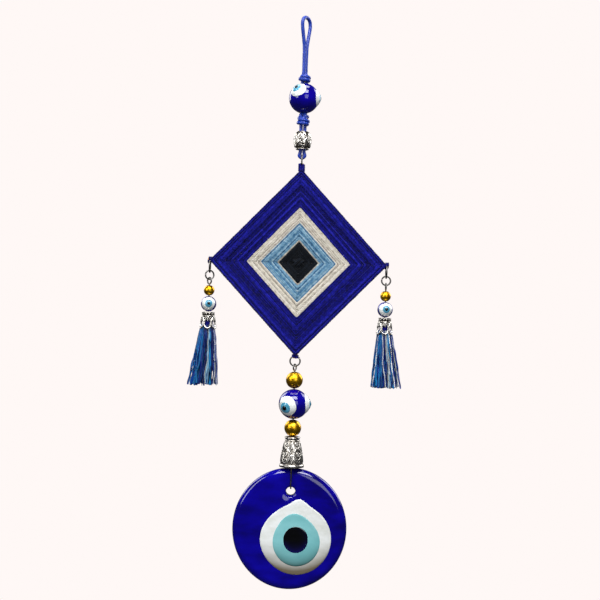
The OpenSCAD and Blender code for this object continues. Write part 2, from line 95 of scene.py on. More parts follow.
def dress(piece, body, slot, *stands_for):
    """Says which body the piece rides and which plain nodes it stands for; slot is not used."""
    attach(piece, body)
    for node in stands_for:
        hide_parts(node)
    return piece


def mesh_piece(name, points, faces, finish, patina_and_shade=None, smooth=True):
    """A piece made from points in metres. hollow is how dark each point is painted, 0 to 1: patina in a cast
    relief's hollows, painted shade on the disc's glass patches and on a cap's inner sleeve.
    """
    mesh = bpy.data.meshes.new(name)
    mesh.from_pydata(np.asarray(points, float).tolist(), [], faces)
    mesh.validate()
    work = bmesh.new()
    work.from_mesh(mesh)
    bmesh.ops.recalc_face_normals(work, faces=work.faces)
    work.to_mesh(mesh)
    work.free()
    if smooth:
        mesh.shade_smooth()
    if patina_and_shade is not None:
        depth = mesh.attributes.new("patina_and_shade", "FLOAT", "POINT")
        depth.data.foreach_set("value", np.asarray(patina_and_shade, np.float32))
    mesh.materials.append(finish)
    piece = bpy.data.objects.new(name, mesh)
    bpy.context.scene.collection.objects.link(piece)
    return piece


def joined(parts):
    """Several (points, faces) shapes as one."""
    points, faces = [], []
    for more_points, more_faces in parts:
        start = len(points)
        points.extend(np.asarray(more_points).tolist())
        faces.extend([[i + start for i in face] for face in more_faces])
    return points, faces


def curve_through(points, steps, closed=False):
    """A smooth curve through the points, with steps pieces between each pair."""
    pts = np.asarray(points, float)
    count = len(pts)
    out = []
    for i in range(count if closed else count - 1):
        picks = [i - 1, i, i + 1, i + 2]
        picks = [p % count for p in picks] if closed else [min(max(p, 0), count - 1) for p in picks]
        a, b, c, d = (pts[p] for p in picks)
        for step in range(steps):
            t = step / steps
            straight, bent, eased = c - a, 2 * a - 5 * b + 4 * c - d, 3 * b - a - 3 * c + d
            out.append(0.5 * (2 * b + straight * t + bent * t**2 + eased * t**3))
    if not closed:
        out.append(pts[-1])
    return np.array(out)


def frames_along(path, closed):
    """Two directions square to the path at each point, with the least twist."""
    pts = np.asarray(path, float)
    if closed:
        way = np.roll(pts, -1, 0) - np.roll(pts, 1, 0)
    else:
        way = np.gradient(pts, axis=0)
    way /= np.linalg.norm(way, axis=1)[:, None]
    seed = Vector(way[0]).orthogonal()
    across = [np.array(seed.normalized())]
    for i in range(1, len(pts)):
        v = across[-1] - way[i] * np.dot(across[-1], way[i])
        across.append(v / np.linalg.norm(v))
    across = np.array(across)
    up = np.cross(way, across)
    if closed:
        last = across[-1] - way[0] * np.dot(across[-1], way[0])
        drift = math.atan2(np.dot(last, up[0]), np.dot(last, across[0]))
        turn = -drift * np.arange(len(pts)) / len(pts)
        across, up = (
            across * np.cos(turn)[:, None] + up * np.sin(turn)[:, None],
            up * np.cos(turn)[:, None] - across * np.sin(turn)[:, None],
        )
    return across, up


def rod(path, radius, sides=12, closed=False):
    """A round rod along a path; radius is one number or one for each point."""
    pts = np.asarray(path, float)
    across, up = frames_along(pts, closed)
    rad = np.broadcast_to(np.asarray(radius, float), (len(pts),))
    angles = np.arange(sides) * FULL / sides
    cosines, sines = np.cos(angles)[None, :, None], np.sin(angles)[None, :, None]
    rings = pts[:, None] + rad[:, None, None] * (cosines * across[:, None] + sines * up[:, None])
    count = len(pts)
    faces = []
    for i in range(count if closed else count - 1):
        j = (i + 1) % count
        for k in range(sides):
            n = (k + 1) % sides
            faces.append([i * sides + k, i * sides + n, j * sides + n, j * sides + k])
    points = rings.reshape(-1, 3).tolist()
    if not closed:
        for ring, spot in ((0, pts[0]), (count - 1, pts[-1])):
            points.append(spot.tolist())
            tip = len(points) - 1
            for k in range(sides):
                faces.append([ring * sides + k, ring * sides + (k + 1) % sides, tip])
    return points, faces


def turned(profile, steps, relief=None, centre=(0, 0, 0)):
    """A closed outline of (radius, height) points turned about Z. relief(angle, k) moves a point outwards."""
    outline = np.asarray(profile, float)
    count = len(outline)
    points = []
    for i in range(steps):
        angle = FULL * i / steps
        for k, (rad, height) in enumerate(outline):
            rad = rad + (relief(angle, k) if relief else 0)
            x, y = centre[0] + rad * math.sin(angle), centre[1] - rad * math.cos(angle)
            points.append((x, y, centre[2] + height))
    faces = []
    for i in range(steps):
        j = (i + 1) % steps
        for k in range(count):
            n = (k + 1) % count
            faces.append([i * count + k, j * count + k, j * count + n, i * count + n])
    return points, faces


# ---------------------------------------------------------------- finishes


def new_finish(name):
    """An empty material and its tree."""
    made = bpy.data.materials.new(name)
    made.use_nodes = True
    made.node_tree.nodes.clear()
    return made, made.node_tree


def close_finish(made, tree, inputs):
    """Ends a finish in its one shader."""
    shader = add(tree, "ShaderNodeBsdfPrincipled", inputs)
    add(tree, "ShaderNodeOutputMaterial", {"Surface": shader.outputs["BSDF"]})
    made.diffuse_color = (0.5, 0.5, 0.5, 1)
    return made


def close_metal(made, tree, colour, rough, bump):
    """A bare metal: the shader's own IOR stays, colour and roughness come from the pattern."""
    inputs = {
        "Base Color": colour,
        "Metallic": 1.0,
        "Roughness": rough.outputs[0],
        "Normal": bump.outputs["Normal"],
    }
    return close_finish(made, tree, inputs)


def object_noise(tree, scale, detail=3.0, stretch=(1, 1, 1)):
    """Noise fixed to the piece; scale is how many lumps there are in a metre, so 1000 is 1 mm each."""
    place = add(tree, "ShaderNodeTexCoord").outputs["Object"]
    mapped = add(tree, "ShaderNodeMapping", {"Vector": place, "Scale": stretch})
    inputs = {"Vector": mapped.outputs["Vector"], "Scale": scale, "Detail": detail}
    return add(tree, "ShaderNodeTexNoise", inputs)


def spun_yarn(name, shades):
    """Two-ply acrylic yarn, spun and wound: matt and fuzzy, each wrap a slightly other shade."""
    made, tree = new_finish(name)
    strand = add(tree, "ShaderNodeAttribute", attribute_name="strand").outputs["Fac"]
    # Dye takes unevenly over stretches of about 1.5 mm
    patches = object_noise(tree, 650, 6).outputs["Fac"]
    spread = add(tree, "ShaderNodeMath", {0: patches, 1: 1.5, 2: -0.4}, operation="MULTIPLY_ADD")
    share = add(tree, "ShaderNodeMath", {0: strand, 1: 0.45}, operation="MULTIPLY")
    parts = [spread.outputs[0], 0.62, share.outputs[0]]
    both = add(tree, "ShaderNodeMath", parts, operation="MULTIPLY_ADD")
    colour = add(tree, "ShaderNodeValToRGB", {"Fac": both.outputs[0]}, shades).outputs["Color"]
    # Loose fibres and small lumps, 0.3 mm apart
    fibres = object_noise(tree, 3000, 4).outputs["Fac"]
    bump = add(tree, "ShaderNodeBump", {"Height": fibres, "Strength": 0.9, "Distance": 0.3 * MM})
    return close_finish(
        made,
        tree,
        {
            "Base Color": colour,
            "Roughness": 0.92,
            "IOR": 1.47,
            "Specular IOR Level": 0.2,
            "Sheen Weight": 0.06,
            "Sheen Roughness": 0.45,
            "Normal": bump.outputs["Normal"],
        },
    )


def satin_cord():
    """Nylon rat-tail cord, woven with a satin face: a soft broad gloss with a fine slanting weave."""
    made, tree = new_finish("satin_cord")
    along = add(tree, "ShaderNodeAttribute", attribute_name="along").outputs["Fac"]
    around = add(tree, "ShaderNodeAttribute", attribute_name="around").outputs["Fac"]
    # Satin floats: 12 round the cord, climbing one float every 0.6 mm
    climb = add(tree, "ShaderNodeMath", {0: along, 1: 1 / (0.6 * MM)}, operation="MULTIPLY")
    lines = add(tree, "ShaderNodeMath", {0: around, 1: 12.0, 2: climb.outputs[0]}, operation="MULTIPLY_ADD")
    turn = add(tree, "ShaderNodeMath", {0: lines.outputs[0], 1: FULL}, operation="MULTIPLY")
    wave = add(tree, "ShaderNodeMath", {0: turn.outputs[0]}, operation="SINE")
    share = add(tree, "ShaderNodeMapRange", {"Value": wave.outputs[0], "From Min": -1.0, "From Max": 1.0})
    shades = [(0.0, "#061A80"), (0.55, "#0E30A2"), (1.0, "#2452C0")]
    colour = add(tree, "ShaderNodeValToRGB", {"Fac": share.outputs[0]}, shades).outputs["Color"]
    bump = add(tree, "ShaderNodeBump", {"Height": share.outputs[0], "Strength": 0.35, "Distance": 0.05 * MM})
    return close_finish(
        made,
        tree,
        {
            "Base Color": colour,
            "Roughness": 0.36,
            "IOR": 1.53,
            "Sheen Weight": 0.15,
            "Sheen Roughness": 0.3,
            "Normal": bump.outputs["Normal"],
        },
    )


def furnace_glass(name, shades, swirl, thin_or_painted_shade):
    """Soda-lime glass, wound and melted at the lamp: deep colour, a wet gloss and faint swirls."""
    made, tree = new_finish(name)
    swirls = object_noise(tree, swirl, 4, (1, 1, 2.2)).outputs["Fac"]
    # Painted shade: where a piece's shade amount is high, on the lower part of the disc's glass patches, the
    # colour is mixed towards the glass's shade colour
    painted_shade = add(tree, "ShaderNodeAttribute", attribute_name="patina_and_shade").outputs["Fac"]
    whole = add(tree, "ShaderNodeValToRGB", {"Fac": swirls}, shades).outputs["Color"]
    # A colour mix has its factor, first and second colour at inputs 0, 6 and 7, its result at 2
    mixed = add(tree, "ShaderNodeMix", {0: painted_shade, 6: whole, 7: linear(thin_or_painted_shade)}, data_type="RGBA")
    colour = mixed.outputs[2]
    ripple = object_noise(tree, 320, 1).outputs["Fac"]
    bump = add(tree, "ShaderNodeBump", {"Height": ripple, "Strength": 0.08, "Distance": 0.12 * MM})
    return close_finish(
        made,
        tree,
        {
            "Base Color": colour,
            "Roughness": 0.1,
            "IOR": 1.52,
            "Coat Weight": 0.25,
            "Coat Roughness": 0.06,
            "Normal": bump.outputs["Normal"],
        },
    )


def antique_silver():
    """Cast zinc, silver plated and blackened, then rubbed: bright ridges with dark hollows."""
    made, tree = new_finish("antique_silver")
    patina_and_shade = add(tree, "ShaderNodeAttribute", attribute_name="patina_and_shade").outputs["Fac"]
    stains = object_noise(tree, 900, 4).outputs["Fac"]
    dirt = add(tree, "ShaderNodeMath", {0: stains, 1: 0.35, 2: patina_and_shade}, operation="MULTIPLY_ADD")
    dirt = add(tree, "ShaderNodeMath", {0: dirt.outputs[0], 1: 0.15}, operation="SUBTRACT", use_clamp=True)
    shades = [(0.0, "#DCD8D2"), (0.4, "#B4AEA5"), (0.75, "#6A645B"), (1.0, "#2A2724")]
    colour = add(tree, "ShaderNodeValToRGB", {"Fac": dirt.outputs[0]}, shades).outputs["Color"]
    rough = add(tree, "ShaderNodeMapRange", {"Value": dirt.outputs[0], "To Min": 0.24, "To Max": 0.6})
    pits = object_noise(tree, 3000, 2).outputs["Fac"]
    bump = add(tree, "ShaderNodeBump", {"Height": pits, "Strength": 0.25, "Distance": 0.05 * MM})
    return close_metal(made, tree, colour, rough, bump)


def bent_wire():
    """Nickel-plated iron wire, drawn and bent: a grey metal with lengthwise drawing marks."""
    made, tree = new_finish("wire")
    tarnish = object_noise(tree, 700, 4).outputs["Fac"]
    shades = [(0.25, "#4E4C4B"), (0.55, "#7D7A78"), (0.8, "#A19D9A")]
    colour = add(tree, "ShaderNodeValToRGB", {"Fac": tarnish}, shades).outputs["Color"]
    rough = add(tree, "ShaderNodeMapRange", {"Value": tarnish, "To Min": 0.4, "To Max": 0.22})
    marks = object_noise(tree, 4200, 1).outputs["Fac"]
    bump = add(tree, "ShaderNodeBump", {"Height": marks, "Strength": 0.15, "Distance": 0.03 * MM})
    return close_metal(made, tree, colour, rough, bump)


def gold_plate():
    """Plastic bead with a vacuum-plated gold skin: a bright yellow mirror, slightly rubbed."""
    made, tree = new_finish("gold_plate")
    rubbed = object_noise(tree, 500, 5).outputs["Fac"]
    shades = [(0.3, "#CC8E0C"), (0.5, "#EEB41C"), (0.75, "#FFD43C")]
    colour = add(tree, "ShaderNodeValToRGB", {"Fac": rubbed}, shades).outputs["Color"]
    rough = add(tree, "ShaderNodeMapRange", {"Value": rubbed, "To Min": 0.3, "To Max": 0.4})
    dents = object_noise(tree, 300, 1).outputs["Fac"]
    bump = add(tree, "ShaderNodeBump", {"Height": dents, "Strength": 0.03, "Distance": 0.03 * MM})
    return close_metal(made, tree, colour, rough, bump)


def birch_stick():
    """Birch skewer, turned and left raw: pale brown with fine grain lines along it."""
    made, tree = new_finish("stick_wood")
    grain = object_noise(tree, 900, 5, (1, 1, 0.08)).outputs["Fac"]
    shades = [(0.3, "#7A4E2C"), (0.55, "#A87848"), (0.8, "#C79A6A")]
    colour = add(tree, "ShaderNodeValToRGB", {"Fac": grain}, shades).outputs["Color"]
    bump = add(tree, "ShaderNodeBump", {"Height": grain, "Strength": 0.3, "Distance": 0.08 * MM})
    return close_finish(
        made, tree, {"Base Color": colour, "Roughness": 0.7, "IOR": 1.5, "Normal": bump.outputs["Normal"]}
    )


def rayon_strip(name, shades, roughness):
    """Rayon ribbon yarn cut in strips: silky, with bright streaks along each strip."""
    made, tree = new_finish(name)
    strand = add(tree, "ShaderNodeAttribute", attribute_name="strand").outputs["Fac"]
    streaks = object_noise(tree, 1500, 3, (1, 1, 0.06)).outputs["Fac"]
    shift = add(tree, "ShaderNodeMath", {0: streaks, 1: 0.5}, operation="SUBTRACT")
    both = add(tree, "ShaderNodeMath", {0: shift.outputs[0], 1: 0.25, 2: strand}, operation="MULTIPLY_ADD")
    colour = add(tree, "ShaderNodeValToRGB", {"Fac": both.outputs[0]}, shades).outputs["Color"]
    bump = add(tree, "ShaderNodeBump", {"Height": streaks, "Strength": 0.8, "Distance": 0.12 * MM})
    return close_finish(
        made,
        tree,
        {
            "Base Color": colour,
            "Roughness": roughness,
            "IOR": 1.5,
            "Sheen Weight": 0.05,
            "Sheen Roughness": 0.3,
            "Normal": bump.outputs["Normal"],
        },
    )


TASSEL_SHADES = [
    (0.0, "#020C3A"), (0.2, "#042078"), (0.36, "#063E9E"), (0.5, "#02164E"),
    (0.62, "#0650A0"), (0.76, "#0F78B4"), (0.88, "#041E62"), (1.0, "#8CC0DC"),
]
YARN_SHADES = {
    "black_yarn": [(0.2, "#04070C"), (0.5, "#0A1018"), (0.8, "#131B26")],
    "light_blue_yarn": [(0.15, "#274C74"), (0.38, "#4E7C9E"), (0.6, "#7AA2BA"), (0.85, "#BCCCD4")],
    "cream_yarn": [(0.15, "#A0968A"), (0.38, "#CFC8BA"), (0.7, "#E4DFD6")],
    "royal_blue_yarn": [(0.15, "#01013E"), (0.35, "#070866"), (0.6, "#101288"), (0.85, "#2224B0")],
}
# Each glass: its shades, how many swirls to a metre, and its painted shade colour for the lower part of the
# disc's patches
GLASSES = {
    "cobalt_glass": ([(0.3, "#05005A"), (0.55, "#080088"), (0.8, "#0C04A2")], 60, "#101060"),
    "white_glass": ([(0.3, "#E0E4DE"), (0.6, "#F0F4F3"), (0.9, "#F8FBFB")], 140, "#6E6452"),
    "light_blue_glass": ([(0.25, "#3A7F93"), (0.55, "#4F9EC0"), (0.8, "#7CC2DA")], 260, "#101060"),
    "turquoise_glass": ([(0.2, "#6CB4B8"), (0.55, "#84C6CA"), (0.9, "#98D6DA")], 60, "#355A58"),
    "black_glass": ([(0.3, "#020203"), (0.8, "#07070B")], 200, "#101060"),
}
FINISH = {
    "satin_cord": satin_cord(),
    "antique_silver": antique_silver(),
    "wire": bent_wire(),
    "gold_plate": gold_plate(),
    "stick_wood": birch_stick(),
    "tassel_strips": rayon_strip("tassel_strips", TASSEL_SHADES, 0.26),
    "tassel_thread": rayon_strip(
        "tassel_thread", [(0.0, "#8F9498"), (0.5, "#C7CBCF"), (1.0, "#EEF0F2")], 0.3
    ),
}
for name, shades in YARN_SHADES.items():
    FINISH[name] = spun_yarn(name, shades)
for name, (shades, swirl, thin_or_painted_shade) in GLASSES.items():
    FINISH[name] = furnace_glass(name, shades, swirl, thin_or_painted_shade)


# ---------------------------------------------------------------- trees that make what repeats


def new_tree(name, sockets):
    """An empty tree with named inputs, and its group input's outputs."""
    tree = bpy.data.node_groups.new(name, "GeometryNodeTree")
    tree.interface.new_socket("Guides", in_out="INPUT", socket_type="NodeSocketGeometry")
    for label, kind in sockets.items():
        tree.interface.new_socket(label, in_out="INPUT", socket_type="NodeSocket" + kind)
    tree.interface.new_socket("Piece", in_out="OUTPUT", socket_type="NodeSocketGeometry")
    return tree, add(tree, "NodeGroupInput").outputs


def close_tree(tree, geometry, finish):
    """Ends a tree in plain, smooth, painted geometry."""
    loose = add(tree, "GeometryNodeRealizeInstances", {"Geometry": geometry})
    smooth = add(tree, "GeometryNodeSetShadeSmooth", {"Geometry": loose.outputs[0]})
    painted = add(tree, "GeometryNodeSetMaterial", {"Geometry": smooth.outputs[0], "Material": finish})
    add(tree, "NodeGroupOutput", {"Piece": painted.outputs[0]})
    return tree


def laid_strand_tree():
    """Sweeps a plied strand along every guide line: cord, yarn, thread and twisted tinsel."""
    tree, given = new_tree(
        "laid_strand",
        {
            "Width": "Float",
            "Ring spacing": "Float",
            "Sides": "Int",
            "Plies": "Int",
            "Ply depth": "Float",
            "Lay": "Float",
            "Unevenness": "Float",
            "Fibres per area": "Float",
            "Fibre length": "Float",
            "Finish": "Material",
        },
    )
    line = add(tree, "GeometryNodeMeshToCurve", {"Mesh": given["Guides"]})
    inputs = {"Curve": line.outputs[0], "Length": given["Ring spacing"]}
    line = add(tree, "GeometryNodeResampleCurve", inputs, mode="LENGTH")
    wobble = add(tree, "ShaderNodeTexNoise", {"Scale": 330.0, "Detail": 2.0})
    parts = [wobble.outputs["Color"], (0.5, 0.5, 0.5)]
    centred = add(tree, "ShaderNodeVectorMath", parts, operation="SUBTRACT")
    inputs = {0: centred.outputs[0], "Scale": given["Unevenness"]}
    shift = add(tree, "ShaderNodeVectorMath", inputs, operation="SCALE")
    line = add(tree, "GeometryNodeSetPosition", {"Geometry": line.outputs[0], "Offset": shift.outputs[0]})
    place = add(tree, "GeometryNodeSplineParameter")
    length = add(tree, "GeometryNodeSplineLength").outputs["Length"]
    laps = add(tree, "ShaderNodeMath", [length, given["Lay"]], operation="DIVIDE").outputs[0]
    # Whole turns only, so that a closed guide joins up with itself
    turns = add(tree, "ShaderNodeMath", [laps], operation="ROUND").outputs[0]
    turned_by = add(tree, "ShaderNodeMath", [place.outputs["Factor"], turns], operation="MULTIPLY").outputs[0]
    tilt = add(tree, "ShaderNodeMath", [turned_by, FULL], operation="MULTIPLY").outputs[0]
    line = add(tree, "GeometryNodeSetCurveTilt", {"Curve": line.outputs[0], "Tilt": tilt})
    line = add(
        tree,
        "GeometryNodeStoreNamedAttribute",
        {"Geometry": line.outputs[0], "Name": "along", "Value": place.outputs["Length"]},
        data_type="FLOAT",
        domain="POINT",
    )
    chance = add(tree, "FunctionNodeRandomValue", {"Seed": 7}, data_type="FLOAT")
    line = add(
        tree,
        "GeometryNodeStoreNamedAttribute",
        {"Geometry": line.outputs[0], "Name": "strand", "Value": chance.outputs[1]},
        data_type="FLOAT",
        domain="CURVE",
    )
    section = add(tree, "GeometryNodeCurvePrimitiveCircle", {"Resolution": given["Sides"], "Radius": 0.5})
    spot = add(tree, "GeometryNodeSplineParameter").outputs["Factor"]
    section = add(
        tree,
        "GeometryNodeStoreNamedAttribute",
        {"Geometry": section.outputs["Curve"], "Name": "around", "Value": spot},
        data_type="FLOAT",
        domain="POINT",
    )
    # One lobe for each ply: a cosine between -1 and 0, deepened by the ply depth
    lobes = add(tree, "ShaderNodeMath", [spot, given["Plies"]], operation="MULTIPLY").outputs[0]
    angle = add(tree, "ShaderNodeMath", [lobes, FULL], operation="MULTIPLY").outputs[0]
    wave = add(tree, "ShaderNodeMath", [angle], operation="COSINE").outputs[0]
    lowered = add(tree, "ShaderNodeMath", [wave, 1.0], operation="SUBTRACT").outputs[0]
    dip = add(tree, "ShaderNodeMath", [lowered, 0.5], operation="MULTIPLY").outputs[0]
    reach = add(tree, "ShaderNodeMath", [dip, given["Ply depth"], 1.0], operation="MULTIPLY_ADD").outputs[0]
    here = add(tree, "GeometryNodeInputPosition").outputs[0]
    lobed = add(tree, "ShaderNodeVectorMath", {0: here, "Scale": reach}, operation="SCALE")
    inputs = {"Geometry": section.outputs[0], "Position": lobed.outputs[0]}
    section = add(tree, "GeometryNodeSetPosition", inputs)
    swell = add(tree, "ShaderNodeTexNoise", {"Scale": 700.0, "Detail": 1.0}).outputs["Fac"]
    # Spun unevenly: 8 % thicker or thinner
    swollen = add(tree, "ShaderNodeMath", [swell, 0.16, 0.92], operation="MULTIPLY_ADD").outputs[0]
    plump = add(tree, "ShaderNodeMath", [swollen, given["Width"]], operation="MULTIPLY").outputs[0]
    body = add(
        tree,
        "GeometryNodeCurveToMesh",
        {"Curve": line.outputs[0], "Profile Curve": section.outputs[0], "Scale": plump, "Fill Caps": True},
    )
    spots = add(
        tree,
        "GeometryNodeDistributePointsOnFaces",
        {"Mesh": body.outputs[0], "Density": given["Fibres per area"], "Seed": 11},
    )
    bent = add(
        tree,
        "GeometryNodeCurvePrimitiveBezierSegment",
        {
            "Resolution": 4,
            "Start": (0, 0, -0.05),
            "Start Handle": (0.05, 0, 0.5),
            "End Handle": (0.5, 0.1, 0.7),
            "End": (0.75, 0.35, 0.35),
        },
        mode="POSITION",
    )
    thin_or_painted_shade = add(tree, "GeometryNodeCurvePrimitiveCircle", {"Resolution": 3, "Radius": 0.02})
    inputs = {"Curve": bent.outputs[0], "Profile Curve": thin_or_painted_shade.outputs["Curve"], "Fill Caps": True}
    fibre = add(tree, "GeometryNodeCurveToMesh", inputs)
    lean = add(
        tree,
        "FunctionNodeRandomValue",
        {0: (-0.9, -0.9, -3.14), 1: (0.9, 0.9, 3.14), "Seed": 3},
        data_type="FLOAT_VECTOR",
    )
    leaning = add(
        tree,
        "FunctionNodeRotateRotation",
        {"Rotation": spots.outputs["Rotation"], "Rotate By": lean.outputs[0]},
        rotation_space="LOCAL",
    )
    fibres = add(
        tree,
        "GeometryNodeInstanceOnPoints",
        {
            "Points": spots.outputs["Points"],
            "Instance": fibre.outputs[0],
            "Rotation": leaning.outputs[0],
            "Scale": given["Fibre length"],
        },
    )
    both = add(tree, "GeometryNodeJoinGeometry", {0: body.outputs[0]})
    tree.links.new(fibres.outputs[0], both.inputs[0])
    return close_tree(tree, both.outputs[0], given["Finish"])


def hanging_strip_tree():
    """Sweeps a flat strip along every guide line, its face turned away from the tassel's middle line."""
    tree, given = new_tree(
        "hanging_strip",
        {"Width": "Float", "Thickness": "Float", "Middle": "Vector", "Finish": "Material"},
    )
    line = add(tree, "GeometryNodeMeshToCurve", {"Mesh": given["Guides"]})
    here = add(tree, "GeometryNodeInputPosition").outputs[0]
    away = add(tree, "ShaderNodeVectorMath", {0: here, 1: given["Middle"]}, operation="SUBTRACT")
    flat = add(tree, "ShaderNodeVectorMath", {0: away.outputs[0], 1: (1, 1, 0)}, operation="MULTIPLY")
    chance = add(tree, "FunctionNodeRandomValue", {2: -0.5, 3: 0.5, "Seed": 5}, data_type="FLOAT")
    line = add(
        tree,
        "GeometryNodeStoreNamedAttribute",
        {"Geometry": line.outputs[0], "Name": "turn", "Value": chance.outputs[1]},
        data_type="FLOAT",
        domain="CURVE",
    )
    shade = add(tree, "FunctionNodeRandomValue", {"Seed": 9}, data_type="FLOAT")
    line = add(
        tree,
        "GeometryNodeStoreNamedAttribute",
        {"Geometry": line.outputs[0], "Name": "strand", "Value": shade.outputs[1]},
        data_type="FLOAT",
        domain="CURVE",
    )
    line = add(
        tree, "GeometryNodeSetCurveNormal", {"Curve": line.outputs[0], "Normal": flat.outputs[0]}, mode="FREE"
    )
    turn = add(tree, "GeometryNodeInputNamedAttribute", {"Name": "turn"}, data_type="FLOAT").outputs[0]
    curl = add(tree, "ShaderNodeTexNoise", {"Scale": 150.0, "Detail": 1.0}).outputs["Fac"]
    centred = add(tree, "ShaderNodeMath", [curl, 0.5], operation="SUBTRACT").outputs[0]
    twist = add(tree, "ShaderNodeMath", [centred, 5.0, turn], operation="MULTIPLY_ADD").outputs[0]
    line = add(tree, "GeometryNodeSetCurveTilt", {"Curve": line.outputs[0], "Tilt": twist})
    section = add(
        tree,
        "GeometryNodeCurvePrimitiveQuadrilateral",
        {"Width": given["Thickness"], "Height": given["Width"]},
        mode="RECTANGLE",
    )
    inputs = {"Curve": line.outputs[0], "Profile Curve": section.outputs[0], "Fill Caps": True}
    body = add(tree, "GeometryNodeCurveToMesh", inputs)
    return close_tree(tree, body.outputs[0], given["Finish"])


LAID_STRAND = laid_strand_tree()
HANGING_STRIP = hanging_strip_tree()


def grow(name, tree, guides, **settings):
    """Runs a tree once on guide lines and keeps its result as a plain mesh. guides holds (points, closed)."""
    points, edges = [], []
    for path, closed in guides:
        start = len(points)
        count = len(path)
        points.extend(np.asarray(path).tolist())
        edges.extend([start + i, start + i + 1] for i in range(count - 1))
        if closed:
            edges.append([start + count - 1, start])
    mesh = bpy.data.meshes.new(name)
    mesh.from_pydata(points, edges, [])
    piece = bpy.data.objects.new(name, mesh)
    bpy.context.scene.collection.objects.link(piece)
    modifier = piece.modifiers.new("make", "NODES")
    modifier.node_group = tree
    for item in tree.interface.items_tree:
        label = item.name.lower().replace(" ", "_")
        if item.in_out == "INPUT" and label in settings:
            modifier[item.identifier] = settings[label]
    seen = piece.evaluated_get(bpy.context.evaluated_depsgraph_get())
    plain = bpy.data.meshes.new_from_object(seen)
    piece.modifiers.clear()
    piece.data = plain
    return piece


# ---------------------------------------------------------------- camera


def camera():
    """Looks level at the hanging from the front, tipped a little so that its top leans right."""
    lens = bpy.data.cameras.new("camera")
    lens.lens = 69.2
    lens.sensor_width = 36
    lens.clip_start = 0.01
    seen = bpy.data.objects.new("camera", lens)
    seen.location = (1.5 * MM, -600 * MM, -145.9 * MM)
    seen.rotation_euler = (math.radians(90), math.radians(-1.95), 0)
    bpy.context.scene.collection.objects.link(seen)
    bpy.context.scene.camera = seen


camera()


# ---------------------------------------------------------------- hanging cord

CORD_WIDTH = 1.9 * MM
LOOP_TURN = math.radians(58)
# Route of the hanging loop in its own plane: distance from the middle and height, in millimetres
LOOP_ROUTE = [
    (-1.05, -28.6), (-1.05, -25), (-1.05, -21), (-1.1, -17), (-1.4, -13.5), (-2.2, -10), (-3, -7),
    (-3.6, -4.5), (-3.8, -2.8), (-3.5, -1.1), (-2.6, 0.2), (-1.4, 0.8), (0, 1),
    (1.4, 0.8), (2.6, 0.2), (3.5, -1.1), (3.8, -2.8), (3.6, -4.5), (3, -7), (2.2, -10),
    (1.4, -13.5), (1.1, -17), (1.05, -21), (1.05, -25), (1.05, -28.6),
]
CORD_SETTINGS = dict(
    ring_spacing=0.3 * MM,
    sides=20,
    plies=1,
    ply_depth=0.0,
    lay=1.0,
    unevenness=0.12 * MM,
    fibres_per_area=0.0,
    fibre_length=0.0,
    finish=FINISH["satin_cord"],
)


def hanging_loop():
    """The free loop over the nail, from the upper knot and back to it."""
    route = [
        Vector((u * math.cos(LOOP_TURN), u * math.sin(LOOP_TURN), z)) * MM for u, z in LOOP_ROUTE
    ]
    smooth = curve_through(route, 6)
    piece = grow("hanging_loop", LAID_STRAND, [(smooth, False)], width=CORD_WIDTH, **CORD_SETTINGS)
    dress(piece, "hanging_cord", "satin_cord", "hanging_loop_cord")


def knot(name, node, wraps, through=()):
    """A knot in the doubled cord: each wrap is (start angle, turns, radius, top, drop) in mm and turns."""
    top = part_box(node)[1].z
    guides = []
    for start, turns, rad, high, drop in wraps:
        path = []
        steps = max(12, int(24 * abs(turns)))
        for i in range(steps + 1):
            t = i / steps
            ends = min(1, min(t, 1 - t) * 5)
            reach = (0.75 + (rad - 0.75) * math.sin(ends * math.pi / 2)) * MM
            a = start + turns * FULL * t
            path.append((reach * math.sin(a), -reach * math.cos(a), top + (high + drop * t) * MM))
        guides.append((path, False))
    guides += [(path, False) for path in through]
    piece = grow(name, LAID_STRAND, guides, width=CORD_WIDTH * 0.98, **CORD_SETTINGS)
    dress(piece, "hanging_cord", "satin_cord", node)


def strands_through(node, turn_top, above, below):
    """Both strands of the cord running straight down through a knot."""
    lo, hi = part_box(node)
    paths = []
    for side in (1, -1):
        path = []
        for i in range(13):
            t = i / 12
            a = turn_top * (1 - t)
            z = hi.z + above + (lo.z - below - hi.z - above) * t
            path.append((side * 1.03 * MM * math.cos(a), side * 1.03 * MM * math.sin(a), z))
        paths.append(path)
    return paths


def cord_strands():
    """The doubled cord below the lower knot: through the charm and round the top ring."""
    lo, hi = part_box("lower_cord")
    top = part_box("lower_knot")[0].z + 0.8 * MM
    bottom = lo.z + CORD_WIDTH / 2
    wide = (hi.x - lo.x - CORD_WIDTH) / 2
    near = 1.0 * MM
    charm_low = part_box("charm_bead")[0].z
    side = [
        (near, 0, top),
        (near, 0, (top + charm_low) / 2),
        (near, 0, charm_low + 0.6 * MM),
        (near, 0, charm_low - 1.2 * MM),
        (wide, 0, bottom + wide),
    ]
    bend = [
        (wide * math.cos(a), 0, bottom + wide - wide * math.sin(a))
        for a in (math.radians(d) for d in (30, 60, 90, 120, 150))
    ]
    path = side + bend + [(-x, y, z) for x, y, z in reversed(side)]
    guides = [(curve_through(path, 6), False)]
    piece = grow("lower_cord_strands", LAID_STRAND, guides, width=CORD_WIDTH * 0.96, **CORD_SETTINGS)
    dress(piece, "hanging_cord", "satin_cord", "lower_cord")


